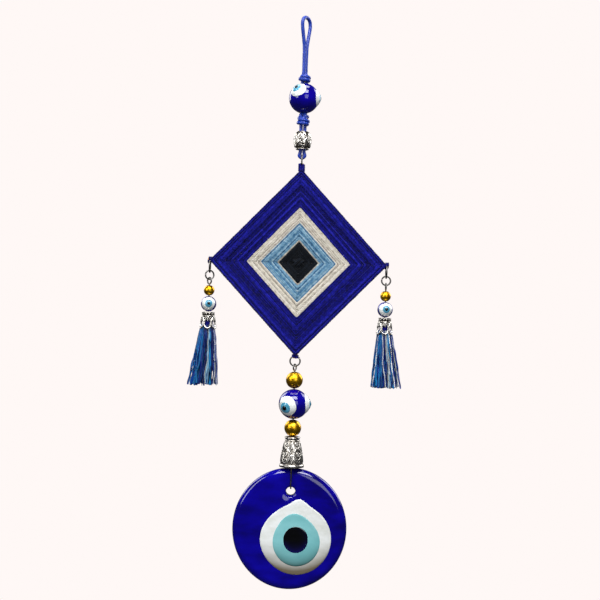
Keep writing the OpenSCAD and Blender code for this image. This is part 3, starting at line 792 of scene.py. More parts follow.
hanging_loop()
knot(
    "upper_cord_knot",
    "upper_knot",
    [
        (math.radians(-100), 1.3, 2.4, -1.1, -1.6),
        (math.radians(80), 1.25, 2.3, -1.6, -1.9),
        (math.radians(20), 0.35, 1.2, -0.2, -2.2),
    ],
    strands_through("upper_knot", LOOP_TURN, 0.8 * MM, 1.0 * MM),
)
knot(
    "lower_cord_knot",
    "lower_knot",
    [
        (math.radians(-65), 0.1, 1.75, -0.1, -4.6),
        (math.radians(45), -0.08, 1.75, -0.1, -4.6),
        (math.radians(190), 0.3, 1.5, -0.3, -4.4),
        (math.radians(20), 1.15, 2.15, -1.2, -1.6),
        (math.radians(-120), 1.3, 2.6, -3.0, -2.0),
        (math.radians(60), 1.2, 2.5, -3.6, -2.1),
    ],
    strands_through("lower_knot", 0.0, 1.0 * MM, 0.3 * MM),
)
cord_strands()
refinish("bead_cord", "satin_cord")


# ---------------------------------------------------------------- lampwork eye beads

# Radii of the holes for the doubled cord and for a pin
CORD_BORE = 2.15 * MM
PIN_BORE = 0.55 * MM
# Width of an eye's iris and pupil as shares of its white
IRIS_SHARE = 0.6
PUPIL_SHARE = 0.25
# How far each layer's top stands over the one beneath, as shares of the white's width
WHITE_RISE = 0.08
IRIS_RISE = 0.032
PUPIL_RISE = 0.022


def on_ball(turn, lift):
    """Direction that turns about Z from the front, then lifts, in degrees."""
    a, e = math.radians(turn), math.radians(lift)
    return Vector((math.sin(a) * math.cos(e), -math.cos(a) * math.cos(e), math.sin(e)))


def glass_ball(name, node, centre, rad, bore, body, uneven):
    """A wound glass ball with a bore: its outline dips a little into the bore at both ends."""
    steps = 56
    edge = math.asin((bore + 0.35 * MM) / rad)
    outline = []
    for i in range(steps + 1):
        a = edge + (math.pi - 2 * edge) * i / steps
        outline.append((rad * math.sin(a), rad * math.cos(a)))
    lip = outline[0][1] - 0.3 * MM
    outline += [(bore, -lip), (bore, -lip / 2), (bore, 0), (bore, lip / 2), (bore, lip)]
    points, faces = turned(outline, 96)
    moved = []
    for p in points:
        v = Vector(p)
        wave = noise.noise(v * 110 + Vector((3, 7, rad * 900))) * uneven
        if Vector((v.x, v.y)).length > bore + 0.3 * MM:
            v += v.normalized() * (wave - uneven)
        moved.append(v + centre)
    dress(mesh_piece(name, moved, faces, FINISH["cobalt_glass"]), body, "cobalt_glass", node)


def dome(base_rad, base_at, spot_w, rise):
    """The ball of a dome that is spot_w wide where it meets the ball beneath."""
    half = spot_w / 2
    foot = base_at + math.sqrt(base_rad**2 - half**2)
    cap = base_at + base_rad + rise - foot
    rad = (half**2 + cap**2) / (2 * cap)
    return rad, base_at + base_rad + rise - rad


def eye_layers(prefix, nodes, centre, rad, spot_w, aims, body, drift):
    """White, iris and pupil of every eye on a ball, each a melted drop on the one beneath.

    drift is how far each eye's pupil slid off the middle while soft, as shares of the white.
    """
    iris_w, pupil_w = IRIS_SHARE * spot_w, PUPIL_SHARE * spot_w
    white = dome(rad, 0, spot_w, WHITE_RISE * spot_w)
    iris = dome(*white, iris_w, IRIS_RISE * spot_w)
    pupil = dome(*iris, pupil_w, PUPIL_RISE * spot_w)
    layers = [
        ("whites", "white_glass", white, spot_w, (rad, 0), 0.0),
        ("irises", "light_blue_glass", iris, iris_w, white, 0.45),
        ("pupils", "black_glass", pupil, pupil_w, iris, 1.0),
    ]
    for label, slot, ball, wide, under, share in layers:
        parts = []
        for number, (turn, lift) in enumerate(aims):
            out = on_ball(turn, lift)
            side = Vector((0, 0, 1)).cross(out).normalized()
            up = out.cross(side)
            slide = (side * drift[number][0] + up * drift[number][1]) * share * spot_w
            parts.append(melted_drop(ball, wide, under, out, side, up, slide, number + wide * 500))
        points, faces = joined(parts)
        points = [Vector(p) + centre for p in points]
        piece = mesh_piece(f"{prefix}_{label}", points, faces, FINISH[slot])
        dress(piece, body, slot, nodes[label])


def melted_drop(ball, wide, under, out, side, up, slide, seed):
    """A dome of glass with a soft rounded rim and a slightly uneven outline, closed underneath."""
    rings, steps = 14, 56
    half = wide / 2
    points = [out * (ball[0] + ball[1])]
    for j in range(1, rings + 1):
        share = j / rings
        for i in range(steps):
            a = FULL * i / steps
            spread = side * math.cos(a) + up * math.sin(a)
            uneven = 1 + 0.05 * noise.noise(Vector((math.cos(a) * 1.3, math.sin(a) * 1.3, seed)))
            reach = half * math.sin(share * math.pi / 2) * uneven
            cap = ball[1] + math.sqrt(max(ball[0] ** 2 - reach**2, 0))
            floor = under[1] + math.sqrt(max(under[0] ** 2 - reach**2, 0))
            height = max(cap, floor) + 0.015 * half * math.sin(share * math.pi) ** 2
            if j == rings:
                height = floor - 0.04 * half
            points.append(out * height + spread * reach)
    bottom = len(points)
    points.append(out * (under[1] + under[0] - 0.3 * half))
    faces = [[0, 1 + i, 1 + (i + 1) % steps] for i in range(steps)]
    for j in range(rings - 1):
        a, b = 1 + j * steps, 1 + (j + 1) * steps
        faces += [[a + i, b + i, b + (i + 1) % steps, a + (i + 1) % steps] for i in range(steps)]
    last = 1 + (rings - 1) * steps
    faces += [[last + i, bottom, last + (i + 1) % steps] for i in range(steps)]
    return [p + slide for p in points], faces


def eye_bead(prefix, centre, wide, bore, spot_w, aims, body, drift, uneven=0.12 * MM):
    """A glass ball with its eyes; wide and spot_w are the widths of the ball and of an eye's white."""
    nodes = {label: f"{prefix}_{label}" for label in ("whites", "irises", "pupils")}
    glass_ball(f"{prefix}_ball", f"{prefix}_glass", centre, wide / 2, bore, body, uneven)
    eye_layers(f"{prefix}_eye", nodes, centre, wide / 2, spot_w, aims, body, drift)


# Where each eye looks, turned from the front and lifted, in degrees
TOP_AIMS = [(-30, 30), (85, 2), (200, -12)]
MIDDLE_AIMS = [(-30, -6), (92, 4), (211, -3)]
SMALL_AIMS = [(0, 3), (180, 3)]

eye_bead(
    "top_bead", middle("top_bead_glass"), size("top_bead_glass").z + 0.6 * MM, CORD_BORE, 8.4 * MM,
    TOP_AIMS, "top_bead", [(-0.06, 0.05), (0.03, 0.0), (0.0, 0.04)],
)

eye_bead(
    "middle_bead", middle("middle_bead_glass"), size("middle_bead_glass").z, PIN_BORE, 10.2 * MM,
    MIDDLE_AIMS, "middle_bead", [(-0.03, -0.07), (0.03, -0.03), (0.0, 0.04)],
)


def plated_ball(name, node, body):
    """A hollow plated bead: a ball with a rolled lip round each end of its bore."""
    centre, rad, bore = middle(node), size(node).z / 2, PIN_BORE
    rad += 0.02 * MM
    steps = 40
    edge = math.asin((bore + 0.45 * MM) / rad)
    outline = []
    for i in range(steps + 1):
        a = edge + (math.pi - 2 * edge) * i / steps
        outline.append((rad * math.sin(a), rad * math.cos(a)))
    top = outline[0][1]
    lip = [(bore + 0.3 * MM, top + 0.03 * MM), (bore + 0.12 * MM, top), (bore, top - 0.15 * MM)]
    outline = lip[::-1] + outline + [(r, -z) for r, z in lip]
    points, faces = turned(outline, 72, centre=centre)
    dress(mesh_piece(name, points, faces, FINISH["gold_plate"]), body, "gold_plate", node)


plated_ball("upper_gold_ball", "upper_gold_bead", "upper_gold")
plated_ball("lower_gold_ball", "lower_gold_bead", "lower_gold")


# ---------------------------------------------------------------- cast relief: charm and cone


LEAF_SPREAD = 1.35


def leaf(a, b, cx, cz, half_w, half_h, turn):
    """Height of one raised leaf with a groove down its middle, at (a, b) in millimetres."""
    c, s = math.cos(math.radians(turn)), math.sin(math.radians(turn))
    half_w *= LEAF_SPREAD
    x, z = (a - cx) * c + (b - cz) * s, (b - cz) * c - (a - cx) * s
    taper = 1 - 0.35 * z / half_h
    q = (x / (half_w * max(taper, 0.3))) ** 2 + (z / half_h) ** 2
    if q > 1.6:
        return 0.0
    body = max(0.0, 1 - q**1.5)
    groove = 0.45 * math.exp(-((x / (0.14 * half_w)) ** 2)) * max(0.0, 1 - (z / half_h) ** 2)
    return max(0.0, min(1.0, body * 2.2) - groove)


def relief_height(a, b, leaves):
    """The highest leaf at a place, over a ground of 0.22."""
    return max(0.22, max(leaf(a, b, *shape) for shape in leaves))


# Each leaf: place across and down in mm, half its width and height in mm, and its turn in degrees
CONE_LEAVES = [
    (0.0, 11.2, 0.8, 2.7, 0), (-1.55, 11.0, 0.65, 2.6, 20), (1.55, 11.0, 0.65, 2.6, -20),
    (-2.9, 12.2, 0.6, 1.5, 8), (2.9, 12.2, 0.6, 1.5, -8),
    (-1.75, 6.3, 0.85, 1.7, -38), (1.75, 6.3, 0.85, 1.7, 38),
    (-1.3, 8.4, 0.55, 1.0, 62), (1.3, 8.4, 0.55, 1.0, -62),
    (0.0, 4.3, 1.25, 1.9, 180), (-2.9, 3.6, 0.6, 1.3, 0), (2.9, 3.6, 0.6, 1.3, 0),
    (-3.1, 8.9, 0.5, 1.4, 0), (3.1, 8.9, 0.5, 1.4, 0),
]
CHARM_LEAVES = [
    (-1.9, 2.7, 1.5, 1.9, 35), (1.3, 2.4, 1.1, 1.9, -48), (0.3, 5.0, 1.35, 2.9, 55),
    (-2.0, 6.4, 0.95, 2.0, 20), (2.3, 6.4, 0.95, 2.1, -30), (0.2, 7.8, 1.7, 0.8, 8),
    (3.4, 3.8, 1.0, 2.0, 10), (-3.6, 5.0, 0.9, 1.8, -15),
]


def cast_shell(name, node, body, leaves, repeats, outer, inner, depth, rows, steps, plain_rims, dirt):
    """A cast shell: the outer outline carries the relief, the inner wall and the bore are plain."""
    centre = middle(node)
    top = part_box(node)[1].z
    height = size(node).z
    outline, heights = [], []
    for i in range(rows + 1):
        share = i / rows
        outline.append((outer(share), -height * share))
        heights.append(share * height / MM)
    patina_and_shade = []

    def relief(angle, k):
        if k > rows:
            patina_and_shade.append(0.6)
            return 0.0
        b = heights[k]
        rim = plain_rims(b)
        a = ((angle / FULL * repeats + 0.5) % 1 - 0.5) * FULL * 5.3 / repeats
        h = relief_height(a, b, leaves)
        mix = h * (1 - rim) + rim
        patina_and_shade.append(max(0.0, 0.85 - mix) * dirt)
        return (mix - 1) * depth

    points, faces = turned(outline + inner, steps, relief, (centre.x, centre.y, top))
    dress(mesh_piece(name, points, faces, FINISH["antique_silver"], patina_and_shade), body, "antique_silver", node)


def bead_cone():
    wide_top = 7.8 * MM / 2
    wide_low = size("bead_cone").x / 2
    height = size("bead_cone").z

    def outer(share):
        neck = 0.86 * wide_top + (wide_low * 0.965 - 0.86 * wide_top) * (math.sin(share * math.pi / 2) ** 0.9)
        lip = math.exp(-(((share - 0.02) / 0.035) ** 2)) * 0.55 * MM
        foot = 0.35 * MM / (1 + math.exp(-(share - 0.93) * 110))
        return min(neck + lip + foot, wide_low)

    inner = [
        (wide_low - 0.8 * MM, -height), (wide_low - 0.9 * MM, -height + 1 * MM),
        (wide_top - 0.8 * MM, -1.2 * MM), (wide_top - 1.2 * MM, -0.85 * MM),
        (0.6 * MM, -0.8 * MM), (0.6 * MM, 0), (wide_top * 0.5, 0),
    ]

    def rims(b):
        top_rim = 1 / (1 + math.exp((b - 1.15) * 9))
        low_rim = 1 / (1 + math.exp((14.25 - b) * 9))
        band = math.exp(-(((b - 1.75) / 0.16) ** 2)) * 0.8
        return min(1.0, top_rim + low_rim + band)

    cast_shell(
        "silver_cone", "bead_cone", "cone", CONE_LEAVES, 5, outer, inner,
        0.38 * MM, 150, 300, rims, 0.75,
    )


def charm():
    wide = size("charm_bead").x / 2
    tall = size("charm_bead").z

    def outer(share):
        bulge = math.sin(math.pi * min(1, max(0, share))) ** 0.45
        return wide * (0.62 + 0.4 * bulge)

    inner = [(2.2 * MM, -tall), (2.16 * MM, -tall * 0.75), (2.16 * MM, -tall * 0.25), (2.2 * MM, 0)]

    def rims(b):
        ends = 1 / (1 + math.exp((b - 0.55) * 10)) + 1 / (1 + math.exp((tall / MM - 0.6 - b) * 10))
        return min(1.0, ends) * 0.9

    cast_shell(
        "silver_charm", "charm_bead", "charm", CHARM_LEAVES, 4, outer, inner,
        0.85 * MM, 96, 220, rims, 1.3,
    )


bead_cone()
charm()


# ---------------------------------------------------------------- wire rings and eye pins

WIRE = 0.8 * MM


def split_ring(name, node, body, turn, split, skew=0.25):
    """A jump ring bent from wire: not quite shut, its two ends side by side. Turns in degrees."""
    centre = middle(node)
    box = size(node)
    rad = (box.z - WIRE) / 2
    c, s = math.cos(math.radians(turn)), math.sin(math.radians(turn))
    path = []
    gap = 4.0
    steps = 96
    for i in range(steps + 1):
        share = i / steps
        a = math.radians(split + gap / 2 + (360 - gap) * share)
        u, w = rad * math.cos(a), (share - 0.5) * skew * WIRE
        path.append((centre.x + u * c - w * s, centre.y + u * s + w * c, centre.z + rad * math.sin(a)))
    points, faces = rod(path, WIRE / 2, 14)
    dress(mesh_piece(name, points, faces, FINISH["wire"]), body, "wire", node)


split_ring("top_ring", "top_jump_ring", "top_ring", 90, 200, 0.05)
split_ring("bottom_ring", "bottom_jump_ring", "bottom_ring", 0, 28)
for side in ("left", "right"):
    split_ring(f"{side}_link", f"{side}_corner_link", f"{side}_link", 90, 20, 0.05)
split_ring("left_ring", "left_jump_ring", "left_ring", 25, 172)
split_ring("right_ring", "right_jump_ring", "right_ring", 0, 160)


def eye_of_pin(centre_x, centre_y, top_z, turn, rad=1.65 * MM):
    """Path of a pin's eye, from its shank round and back to just short of it."""
    c, s = math.cos(math.radians(turn)), math.sin(math.radians(turn))
    mid_z = top_z - WIRE / 2 - rad
    path = []
    for i in range(49):
        a = math.radians(-90 + 338 * i / 48)
        u = rad * math.cos(a)
        path.append((centre_x + u * c, centre_y + u * s, mid_z + rad * math.sin(a)))
    return path, mid_z - rad


def side_pin(side, turn):
    node = f"{side}_eye_pin"
    centre = middle(f"{side}_gold_bead")
    eye, foot = eye_of_pin(centre.x, centre.y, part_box(node)[1].z, turn)
    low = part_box(f"{side}_tassel_cap")[1].z - 1.6 * MM
    shank = [(centre.x, centre.y, low + (foot - low) * i / 12) for i in range(12)]
    small = 0.75 * MM
    hook = [
        (centre.x + small * math.sin(a), centre.y, low - small + small * math.cos(a))
        for a in (math.radians(300 - 300 * i / 20) for i in range(20))
    ]
    points, faces = rod(curve_through(hook + shank + eye, 2), WIRE / 2, 12)
    dress(mesh_piece(f"{side}_pin", points, faces, FINISH["wire"]), f"{side}_drop", "wire", node)


side_pin("left", -50)
side_pin("right", 90)


def disc_pin():
    """The long pin: an eye, a shank through the beads, then a loop of wire through the disc."""
    lo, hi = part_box("bottom_eye_pin")
    eye, foot = eye_of_pin(0, 0, hi.z, 65)
    arm = hi.y - WIRE / 2
    low = lo.z + WIRE / 2
    bend_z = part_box("bead_cone")[0].z + 2 * MM
    shank_low = bend_z + arm
    shank = [(0, 0, shank_low + (foot - shank_low) * i / 30) for i in range(30)]
    first = rod(np.array(shank + eye), WIRE / 2, 12)
    corner = 0.7 * MM
    bend = [math.radians(d) for d in range(0, 181, 12)]
    loop = [(0, arm * math.cos(a), bend_z + arm * math.sin(a)) for a in bend]
    loop += [(0, -arm, bend_z + (low + corner - bend_z) * i / 10) for i in range(1, 10)]
    for side, start in ((-1, 180), (1, 270)):
        loop += [
            (
                0,
                side * (arm - corner) + corner * math.cos(math.radians(start + d)),
                low + corner + corner * math.sin(math.radians(start + d)),
            )
            for d in (0, 22.5, 45, 67.5, 90)
        ]
    loop += [(0, arm, low + corner + (bend_z - low - corner) * i / 10) for i in range(1, 10)]
    points, faces = joined([first, rod(loop, WIRE / 2, 12, closed=True)])
    dress(mesh_piece("disc_hanger", points, faces, FINISH["wire"]), "lower_drop", "wire", "bottom_eye_pin")


disc_pin()


# ---------------------------------------------------------------- woven diamond

STICK_RAD = 1.2 * MM
YARN = 0.9 * MM
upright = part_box("vertical_stick")
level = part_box("horizontal_stick")
HUB = Vector((0, 0, (level[0].z + level[1].z) / 2))
LEVEL_Y = (level[0].y + level[1].y) / 2
HALF_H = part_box("royal_blue_yarn")[1].z - HUB.z
HALF_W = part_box("royal_blue_yarn")[1].x
rng = np.random.default_rng(20)


def wrap_path(share):
    """One turn of yarn over the fronts of all four arms."""
    lift = rng.choice((0.0, 0.2, 0.36)) * MM
    front = -(STICK_RAD + YARN * 0.5) - lift
    behind = LEVEL_Y + front
    jog = rng.uniform(-0.08, 0.08, 8) * MM
    grow_out = max(0.0, (share - 0.6) / 0.4)
    high = share * (HALF_H + 0.9 * MM * grow_out) + jog[0]
    wide = share * (HALF_W + 1.4 * MM * grow_out) + jog[1]
    path = []
    corners = [
        (0, front, high), (wide, behind, jog[4]),
        (0, front, -high + jog[2]), (-wide + jog[3], behind, jog[5]),
    ]
    over = 0.75 * MM
    for i, (x, y, z) in enumerate(corners):
        before, after = corners[i - 1], corners[(i + 1) % 4]
        for other, gap in ((before, over), (after, over)):
            way = Vector((other[0] - x, other[1] - y, other[2] - z)).normalized()
            spot = Vector((x, y, z)) + way * gap
            path.append(spot)
            if other is before:
                path.append(Vector((x, y - 0.1 * MM, z)) * 0.88 + spot * 0.12)
        for step in range(1, 12):
            t = step / 12
            a = Vector((x, y, z))
            b = Vector(after)
            sag = Vector((0, 0.1 * MM * math.sin(math.pi * t), 0))
            path.append(a.lerp(b, t) + sag + Vector(tuple(rng.uniform(-0.03, 0.03, 3) * MM)))
    ordered = []
    for p in path:
        if not ordered or (p - ordered[-1]).length > 0.25 * MM:
            ordered.append(p)
    return [tuple(p + HUB) for p in ordered]


def loops_behind(share):
    """The same turn's loops round the backs of the four arms."""
    rad = STICK_RAD + YARN * 0.5
    paths = []
    slant = 0.32 * MM
    for arm in (1, -1):
        for double in (-0.25, 0.25):
            upright_z = arm * (share * HALF_H - 0.9 * MM) + double * 1.25 * MM
            level_x = arm * (share * HALF_W - 0.9 * MM) + double * 1.2 * MM
            round_upright, round_level = [], []
            for i in range(13):
                a = math.radians(172 - 164 * i / 12)
                lift = slant * (i / 12 - 0.5) * arm
                round_upright.append(
                    tuple(HUB + Vector((rad * math.cos(a), rad * math.sin(a), upright_z + lift)))
                )
                round_level.append(
                    tuple(HUB + Vector((level_x + lift, LEVEL_Y + rad * math.sin(a), rad * math.cos(a))))
                )
            paths += [round_upright, round_level]
    return paths


def lashing():
    """Turns across the crossing of the sticks, laid first, in both diagonals."""
    guides = []
    for lean in (-1, 1):
        for gap in (-1, 0, 1):
            off = gap * 0.9 * MM
            a, front, back = 2.3 * MM, -1.9 * MM - (0.35 * MM if lean > 0 else 0), LEVEL_Y + 1.75 * MM
            round_path = [
                (-a, 0.2 * MM, -lean * a), (-a * 0.55, front * 0.8, -lean * a * 0.55),
                (0, front, 0), (a * 0.55, front * 0.8, lean * a * 0.55),
                (a, 0.2 * MM, lean * a), (a, 2.2 * MM, lean * a), (a * 0.5, back, lean * a * 0.5),
                (-a * 0.5, back, -lean * a * 0.5), (-a, 2.2 * MM, -lean * a),
            ]
            across = Vector((-lean, 0, 1)).normalized() * off
            guides.append(([tuple(Vector(p) + across + HUB) for p in round_path], True))
    return [(curve_through(path, 4, True), closed) for path, closed in guides]


def yarn_band(name, finish, shares, nodes, extra=()):
    """One band of the diamond: a turn of yarn for each share of the way out to the corners."""
    guides = list(extra)
    for share in shares:
        guides.append((wrap_path(share), True))
        guides += [(path, False) for path in loops_behind(share)]
    piece = grow(
        name,
        LAID_STRAND,
        guides,
        width=YARN * 1.25,
        ring_spacing=0.66 * MM,
        sides=7,
        plies=2,
        ply_depth=0.26,
        lay=3.0 * MM,
        unevenness=0.26 * MM,
        fibres_per_area=150000.0,
        fibre_length=1.0 * MM,
        finish=FINISH[finish],
    )
    dress(piece, "diamond", finish, *nodes)


def share_of(node):
    """How far out a band of yarn reaches, as a share of the way to the diamond's corner."""
    return (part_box(node)[1].z - HUB.z) / HALF_H


inner_bands = ("black_yarn", "light_blue_yarn", "cream_yarn")
black_share, light_share, cream_share = (share_of(band) for band in inner_bands)
edge_share = 1 - 0.35 * YARN / (HALF_H / math.sqrt(2))


def evenly(first, last, wraps):
    """The middles of so many equal steps from first to last."""
    return [first + (last - first) * (i + 0.5) / wraps for i in range(wraps)]


blue_shares = evenly(black_share, light_share, 11)
yarn_band("black_wraps", "black_yarn", evenly(0.03, black_share, 11), ["black_yarn"], lashing())
yarn_band("light_blue_wraps", "light_blue_yarn", blue_shares[1:], ["light_blue_yarn"])
yarn_band("pale_wraps", "cream_yarn", [blue_shares[0]], [])
yarn_band("cream_wraps", "cream_yarn", evenly(light_share, cream_share, 8), ["cream_yarn"])
yarn_band("royal_blue_wraps", "royal_blue_yarn", evenly(cream_share, edge_share, 22), ["royal_blue_yarn"])


def end_wraps():
    """The last of the yarn, wound a few turns round the end of each stick."""
    rad = STICK_RAD + 0.32 * MM
    arms = [
        (Vector((0, 0, 1)), HUB, HALF_H - 0.6 * MM, upright[1].z - HUB.z - 0.2 * MM, 6),
        (Vector((0, 0, -1)), HUB, HALF_H - 0.2 * MM, HUB.z - upright[0].z - 0.2 * MM, 3),
        (Vector((1, 0, 0)), HUB + Vector((0, LEVEL_Y, 0)), HALF_W + 0.1 * MM, level[1].x - 0.15 * MM, 3),
        (Vector((-1, 0, 0)), HUB + Vector((0, LEVEL_Y, 0)), HALF_W + 0.1 * MM, level[1].x - 0.15 * MM, 3),
    ]
    guides = []
    for way, start, near, far, turns in arms:
        side = Vector((0, 1, 0)).cross(way)
        path = []
        for i in range(turns * 20 + 1):
            share = i / (turns * 20)
            a = FULL * turns * share
            round_it = side * math.sin(a) * rad - Vector((0, 1, 0)) * math.cos(a) * rad
            path.append(tuple(start + way * (near + (far - near) * share) + round_it))
        guides.append((path, False))
    piece = grow(
        "end_wraps",
        LAID_STRAND,
        guides,
        width=YARN * 0.8,
        ring_spacing=0.3 * MM,
        sides=8,
        plies=2,
        ply_depth=0.2,
        lay=3.0 * MM,
        unevenness=0.1 * MM,
        fibres_per_area=100000.0,
        fibre_length=0.8 * MM,
        finish=FINISH["royal_blue_yarn"],
    )
    dress(piece, "diamond", "royal_blue_yarn", "top_stub_wrap")


end_wraps()
for stick in ("vertical_stick", "horizontal_stick"):
    refinish(stick, "stick_wood")


# ---------------------------------------------------------------- side drops


def tassel_cap(side):
    """A filigree cap: a pierced band over a crown of wire petals with a scalloped lower edge."""
    node = f"{side}_tassel_cap"
    centre, box = middle(node), size(node)
    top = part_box(node)[1].z
    tall, wide_low, wide_top = box.z, box.x / 2, 3.3 * MM
    band = 2.1 * MM
    grain = 0.42 * MM
    petals = 6

    # A place on the cap's cone, so far down from its top
    def at(angle, down, proud=0.0):
        share = min(1.0, max(0.0, (down - 1.6 * MM) / (tall - 1.6 * MM)))
        rad = wide_top + (wide_low - wide_top) * share - 0.3 * MM + proud
        return (centre.x + rad * math.sin(angle), centre.y - rad * math.cos(angle), top - down)

    parts, depth = [], []

    # Each shape is kept with how dark its antique finish lies, 0 on a rubbed ridge and 1 deep in a recess;
    # the inner sleeve's 1 is painted shade
    def keep(shape, patina_and_shade):
        parts.append(shape)
        depth.extend([patina_and_shade] * len(shape[0]))

    lid = [
        (wide_top, -0.12 * MM), (wide_top - 0.15 * MM, 0), (0.7 * MM, 0), (0.5 * MM, -0.1 * MM),
        (0.5 * MM, -0.45 * MM), (wide_top - 0.5 * MM, -0.45 * MM),
        (wide_top - 0.1 * MM, -0.5 * MM), (wide_top, -0.35 * MM),
    ]
    keep(turned(lid, 72, centre=(centre.x, centre.y, top)), 0.15)
    for down, thick in ((0.45 * MM, 0.28 * MM), (band, 0.34 * MM)):
        keep(rod([at(FULL * i / 72, down, 0.0) for i in range(72)], thick, 8, True), 0.05)
    # Painted shade: a sleeve inside the band, in the darkest colour of the antique finish, stands for the
    # shade inside the cap seen through its openings
    shade_sleeve = [
        (wide_top - 0.55 * MM, -0.4 * MM), (wide_top - 0.5 * MM, -band),
        (wide_top - 0.4 * MM, -band - 1.2 * MM), (wide_top - 0.75 * MM, -band - 1.2 * MM),
        (wide_top - 0.85 * MM, -0.4 * MM),
    ]
    keep(turned(shade_sleeve, 48, centre=(centre.x, centre.y, top)), 1.0)
    posts = 12
    for i in range(posts):
        a = FULL * (i + 0.5) / posts
        post = [at(a, 0.3 * MM, -0.05 * MM), at(a, band * 0.5, 0.02 * MM), at(a, band, -0.05 * MM)]
        keep(rod(post, 0.3 * MM, 8), 0.2)
    reach_a = FULL / petals / 2
    mid = (band + tall) / 2 + 0.35 * MM
    reach_z = (tall - band) / 2 - 0.1 * MM
    for i in range(petals):
        a = FULL * i / petals
        outline = []
        for k in range(28):
            t = FULL * k / 28
            pinch = 1 - 0.42 * max(0.0, math.sin(t)) ** 1.5
            outline.append(at(a + reach_a * 0.93 * math.cos(t) * pinch, mid - reach_z * math.sin(t)))
        keep(rod(outline, 0.48 * MM, 8, True), 0.0)
        veined = [at(a, mid - reach_z * 0.2), at(a, mid - reach_z * 0.6, 0.05 * MM), at(a, mid - reach_z)]
        keep(rod(curve_through(veined, 3), 0.36 * MM, 8), 0.05)
        bead_at = at(a + reach_a, band + 0.9 * MM, 0.1 * MM)
        bows = [math.pi * j / 8 for j in range(9)]
        ball = [(grain * math.sin(bow), grain * math.cos(bow)) for bow in bows]
        keep(round_grain(bead_at, ball), 0.0)
    points, faces = joined(parts)
    piece = mesh_piece(f"{side}_cap", points, faces, FINISH["antique_silver"], depth)
    dress(piece, f"{side}_drop", "antique_silver", node)


def round_grain(centre, outline, steps=12):
    """A small closed ball from a half circle of (radius, height) points."""
    cx, cy, cz = centre
    points = [(cx, cy, cz + outline[0][1])]
    for rad, height in outline[1:-1]:
        points += [
            (cx + rad * math.cos(FULL * i / steps), cy + rad * math.sin(FULL * i / steps), cz + height)
            for i in range(steps)
        ]
    points.append((cx, cy, cz + outline[-1][1]))
    rows = len(outline) - 2
    faces = [[0, 1 + i, 1 + (i + 1) % steps] for i in range(steps)]
    for j in range(rows - 1):
        a, b = 1 + j * steps, 1 + (j + 1) * steps
        faces += [[a + i, b + i, b + (i + 1) % steps, a + (i + 1) % steps] for i in range(steps)]
    end, last = len(points) - 1, 1 + (rows - 1) * steps
    faces += [[last + i, end, last + (i + 1) % steps] for i in range(steps)]
    return points, faces


def tassel_tie(side):
    """Thread wound round the folded strips inside the cap, seen through its openings."""
    node = f"{side}_tassel_tie"
    lo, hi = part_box(node)
    centre = middle(node)
    rad = (hi.x - lo.x) / 2 - 0.35 * MM
    turns = 9
    path = []
    count = turns * 20
    for i in range(count + 1):
        a = FULL * i / 20
        z = lo.z + 0.3 * MM + (hi.z - lo.z - 0.7 * MM) * i / count
        path.append((centre.x + rad * math.sin(a), centre.y - rad * math.cos(a), z))
    for i in range(36):
        a = FULL * i / 18
        near = rad * (1 - i / 36)
        path.append((centre.x + near * math.sin(a), centre.y - near * math.cos(a), hi.z - 0.35 * MM))
    piece = grow(
        f"{side}_tie_thread",
        LAID_STRAND,
        [(path, False)],
        width=0.72 * MM,
        ring_spacing=0.5 * MM,
        sides=8,
        plies=2,
        ply_depth=0.2,
        lay=2.0 * MM,
        unevenness=0.08 * MM,
        fibres_per_area=0.0,
        fibre_length=0.0,
        finish=FINISH["royal_blue_yarn"],
    )
    dress(piece, f"{side}_drop", "tassel_thread", node)


# Which way each tassel leans, and how far its strips hang below the plain skirt
LEAN = {"left": -1.8 * MM, "right": 1.8 * MM}
LONGER = {"left": 2.6 * MM, "right": 1.2 * MM}


def strip_paths(side, count, layer, seed, wavy=1.0):
    """Hanging lines from inside the cap down to the tassel's oval foot; layer is 1 for the outermost."""
    draw = np.random.default_rng(seed)
    cap = middle(f"{side}_tassel_cap")
    foot_x = cap.x + LEAN[side]
    reach_x, reach_y = (8.5 - 0.75) * MM * layer, (5.0 - 0.6) * MM * layer
    top_rad = 3.1 * MM * (0.55 + 0.45 * layer)
    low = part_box(f"{side}_tassel_skirt")[0].z - LONGER[side]
    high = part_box(f"{side}_tassel_cap")[0].z + 1.6 * MM
    paths = []
    for i in range(count):
        a = FULL * (i + draw.uniform(-0.25, 0.25)) / count
        end = low + draw.uniform(0, 1.6) * MM
        sway, phase = draw.uniform(0.2, 0.6) * wavy * MM, draw.uniform(0, FULL)
        twist = draw.uniform(-0.25, 0.25)
        path = []
        for k in range(21):
            t = k / 20
            spread = t**0.8
            aa = a + twist * t
            x = cap.x + (foot_x - cap.x) * t**1.1 + math.sin(aa) * (top_rad * (1 - spread) + reach_x * spread)
            y = cap.y - math.cos(aa) * (top_rad * (1 - spread) + reach_y * spread)
            wave = sway * math.sin(phase + t * 10) * t
            path.append((x + wave * math.cos(aa), y + wave * math.sin(aa) * 0.5, high + (end - high) * t))
        paths.append(path)
    return paths


# Where the silver strands hang, in degrees round each tassel from its front, and how wide they are
TINSEL_AT = {"left": [62, 82, 100, 10, 220], "right": [-65, -20, -5, 10, 25, 60, 85, 160, 250]}
TINSEL_W = {"left": 0.65 * MM, "right": 0.8 * MM}


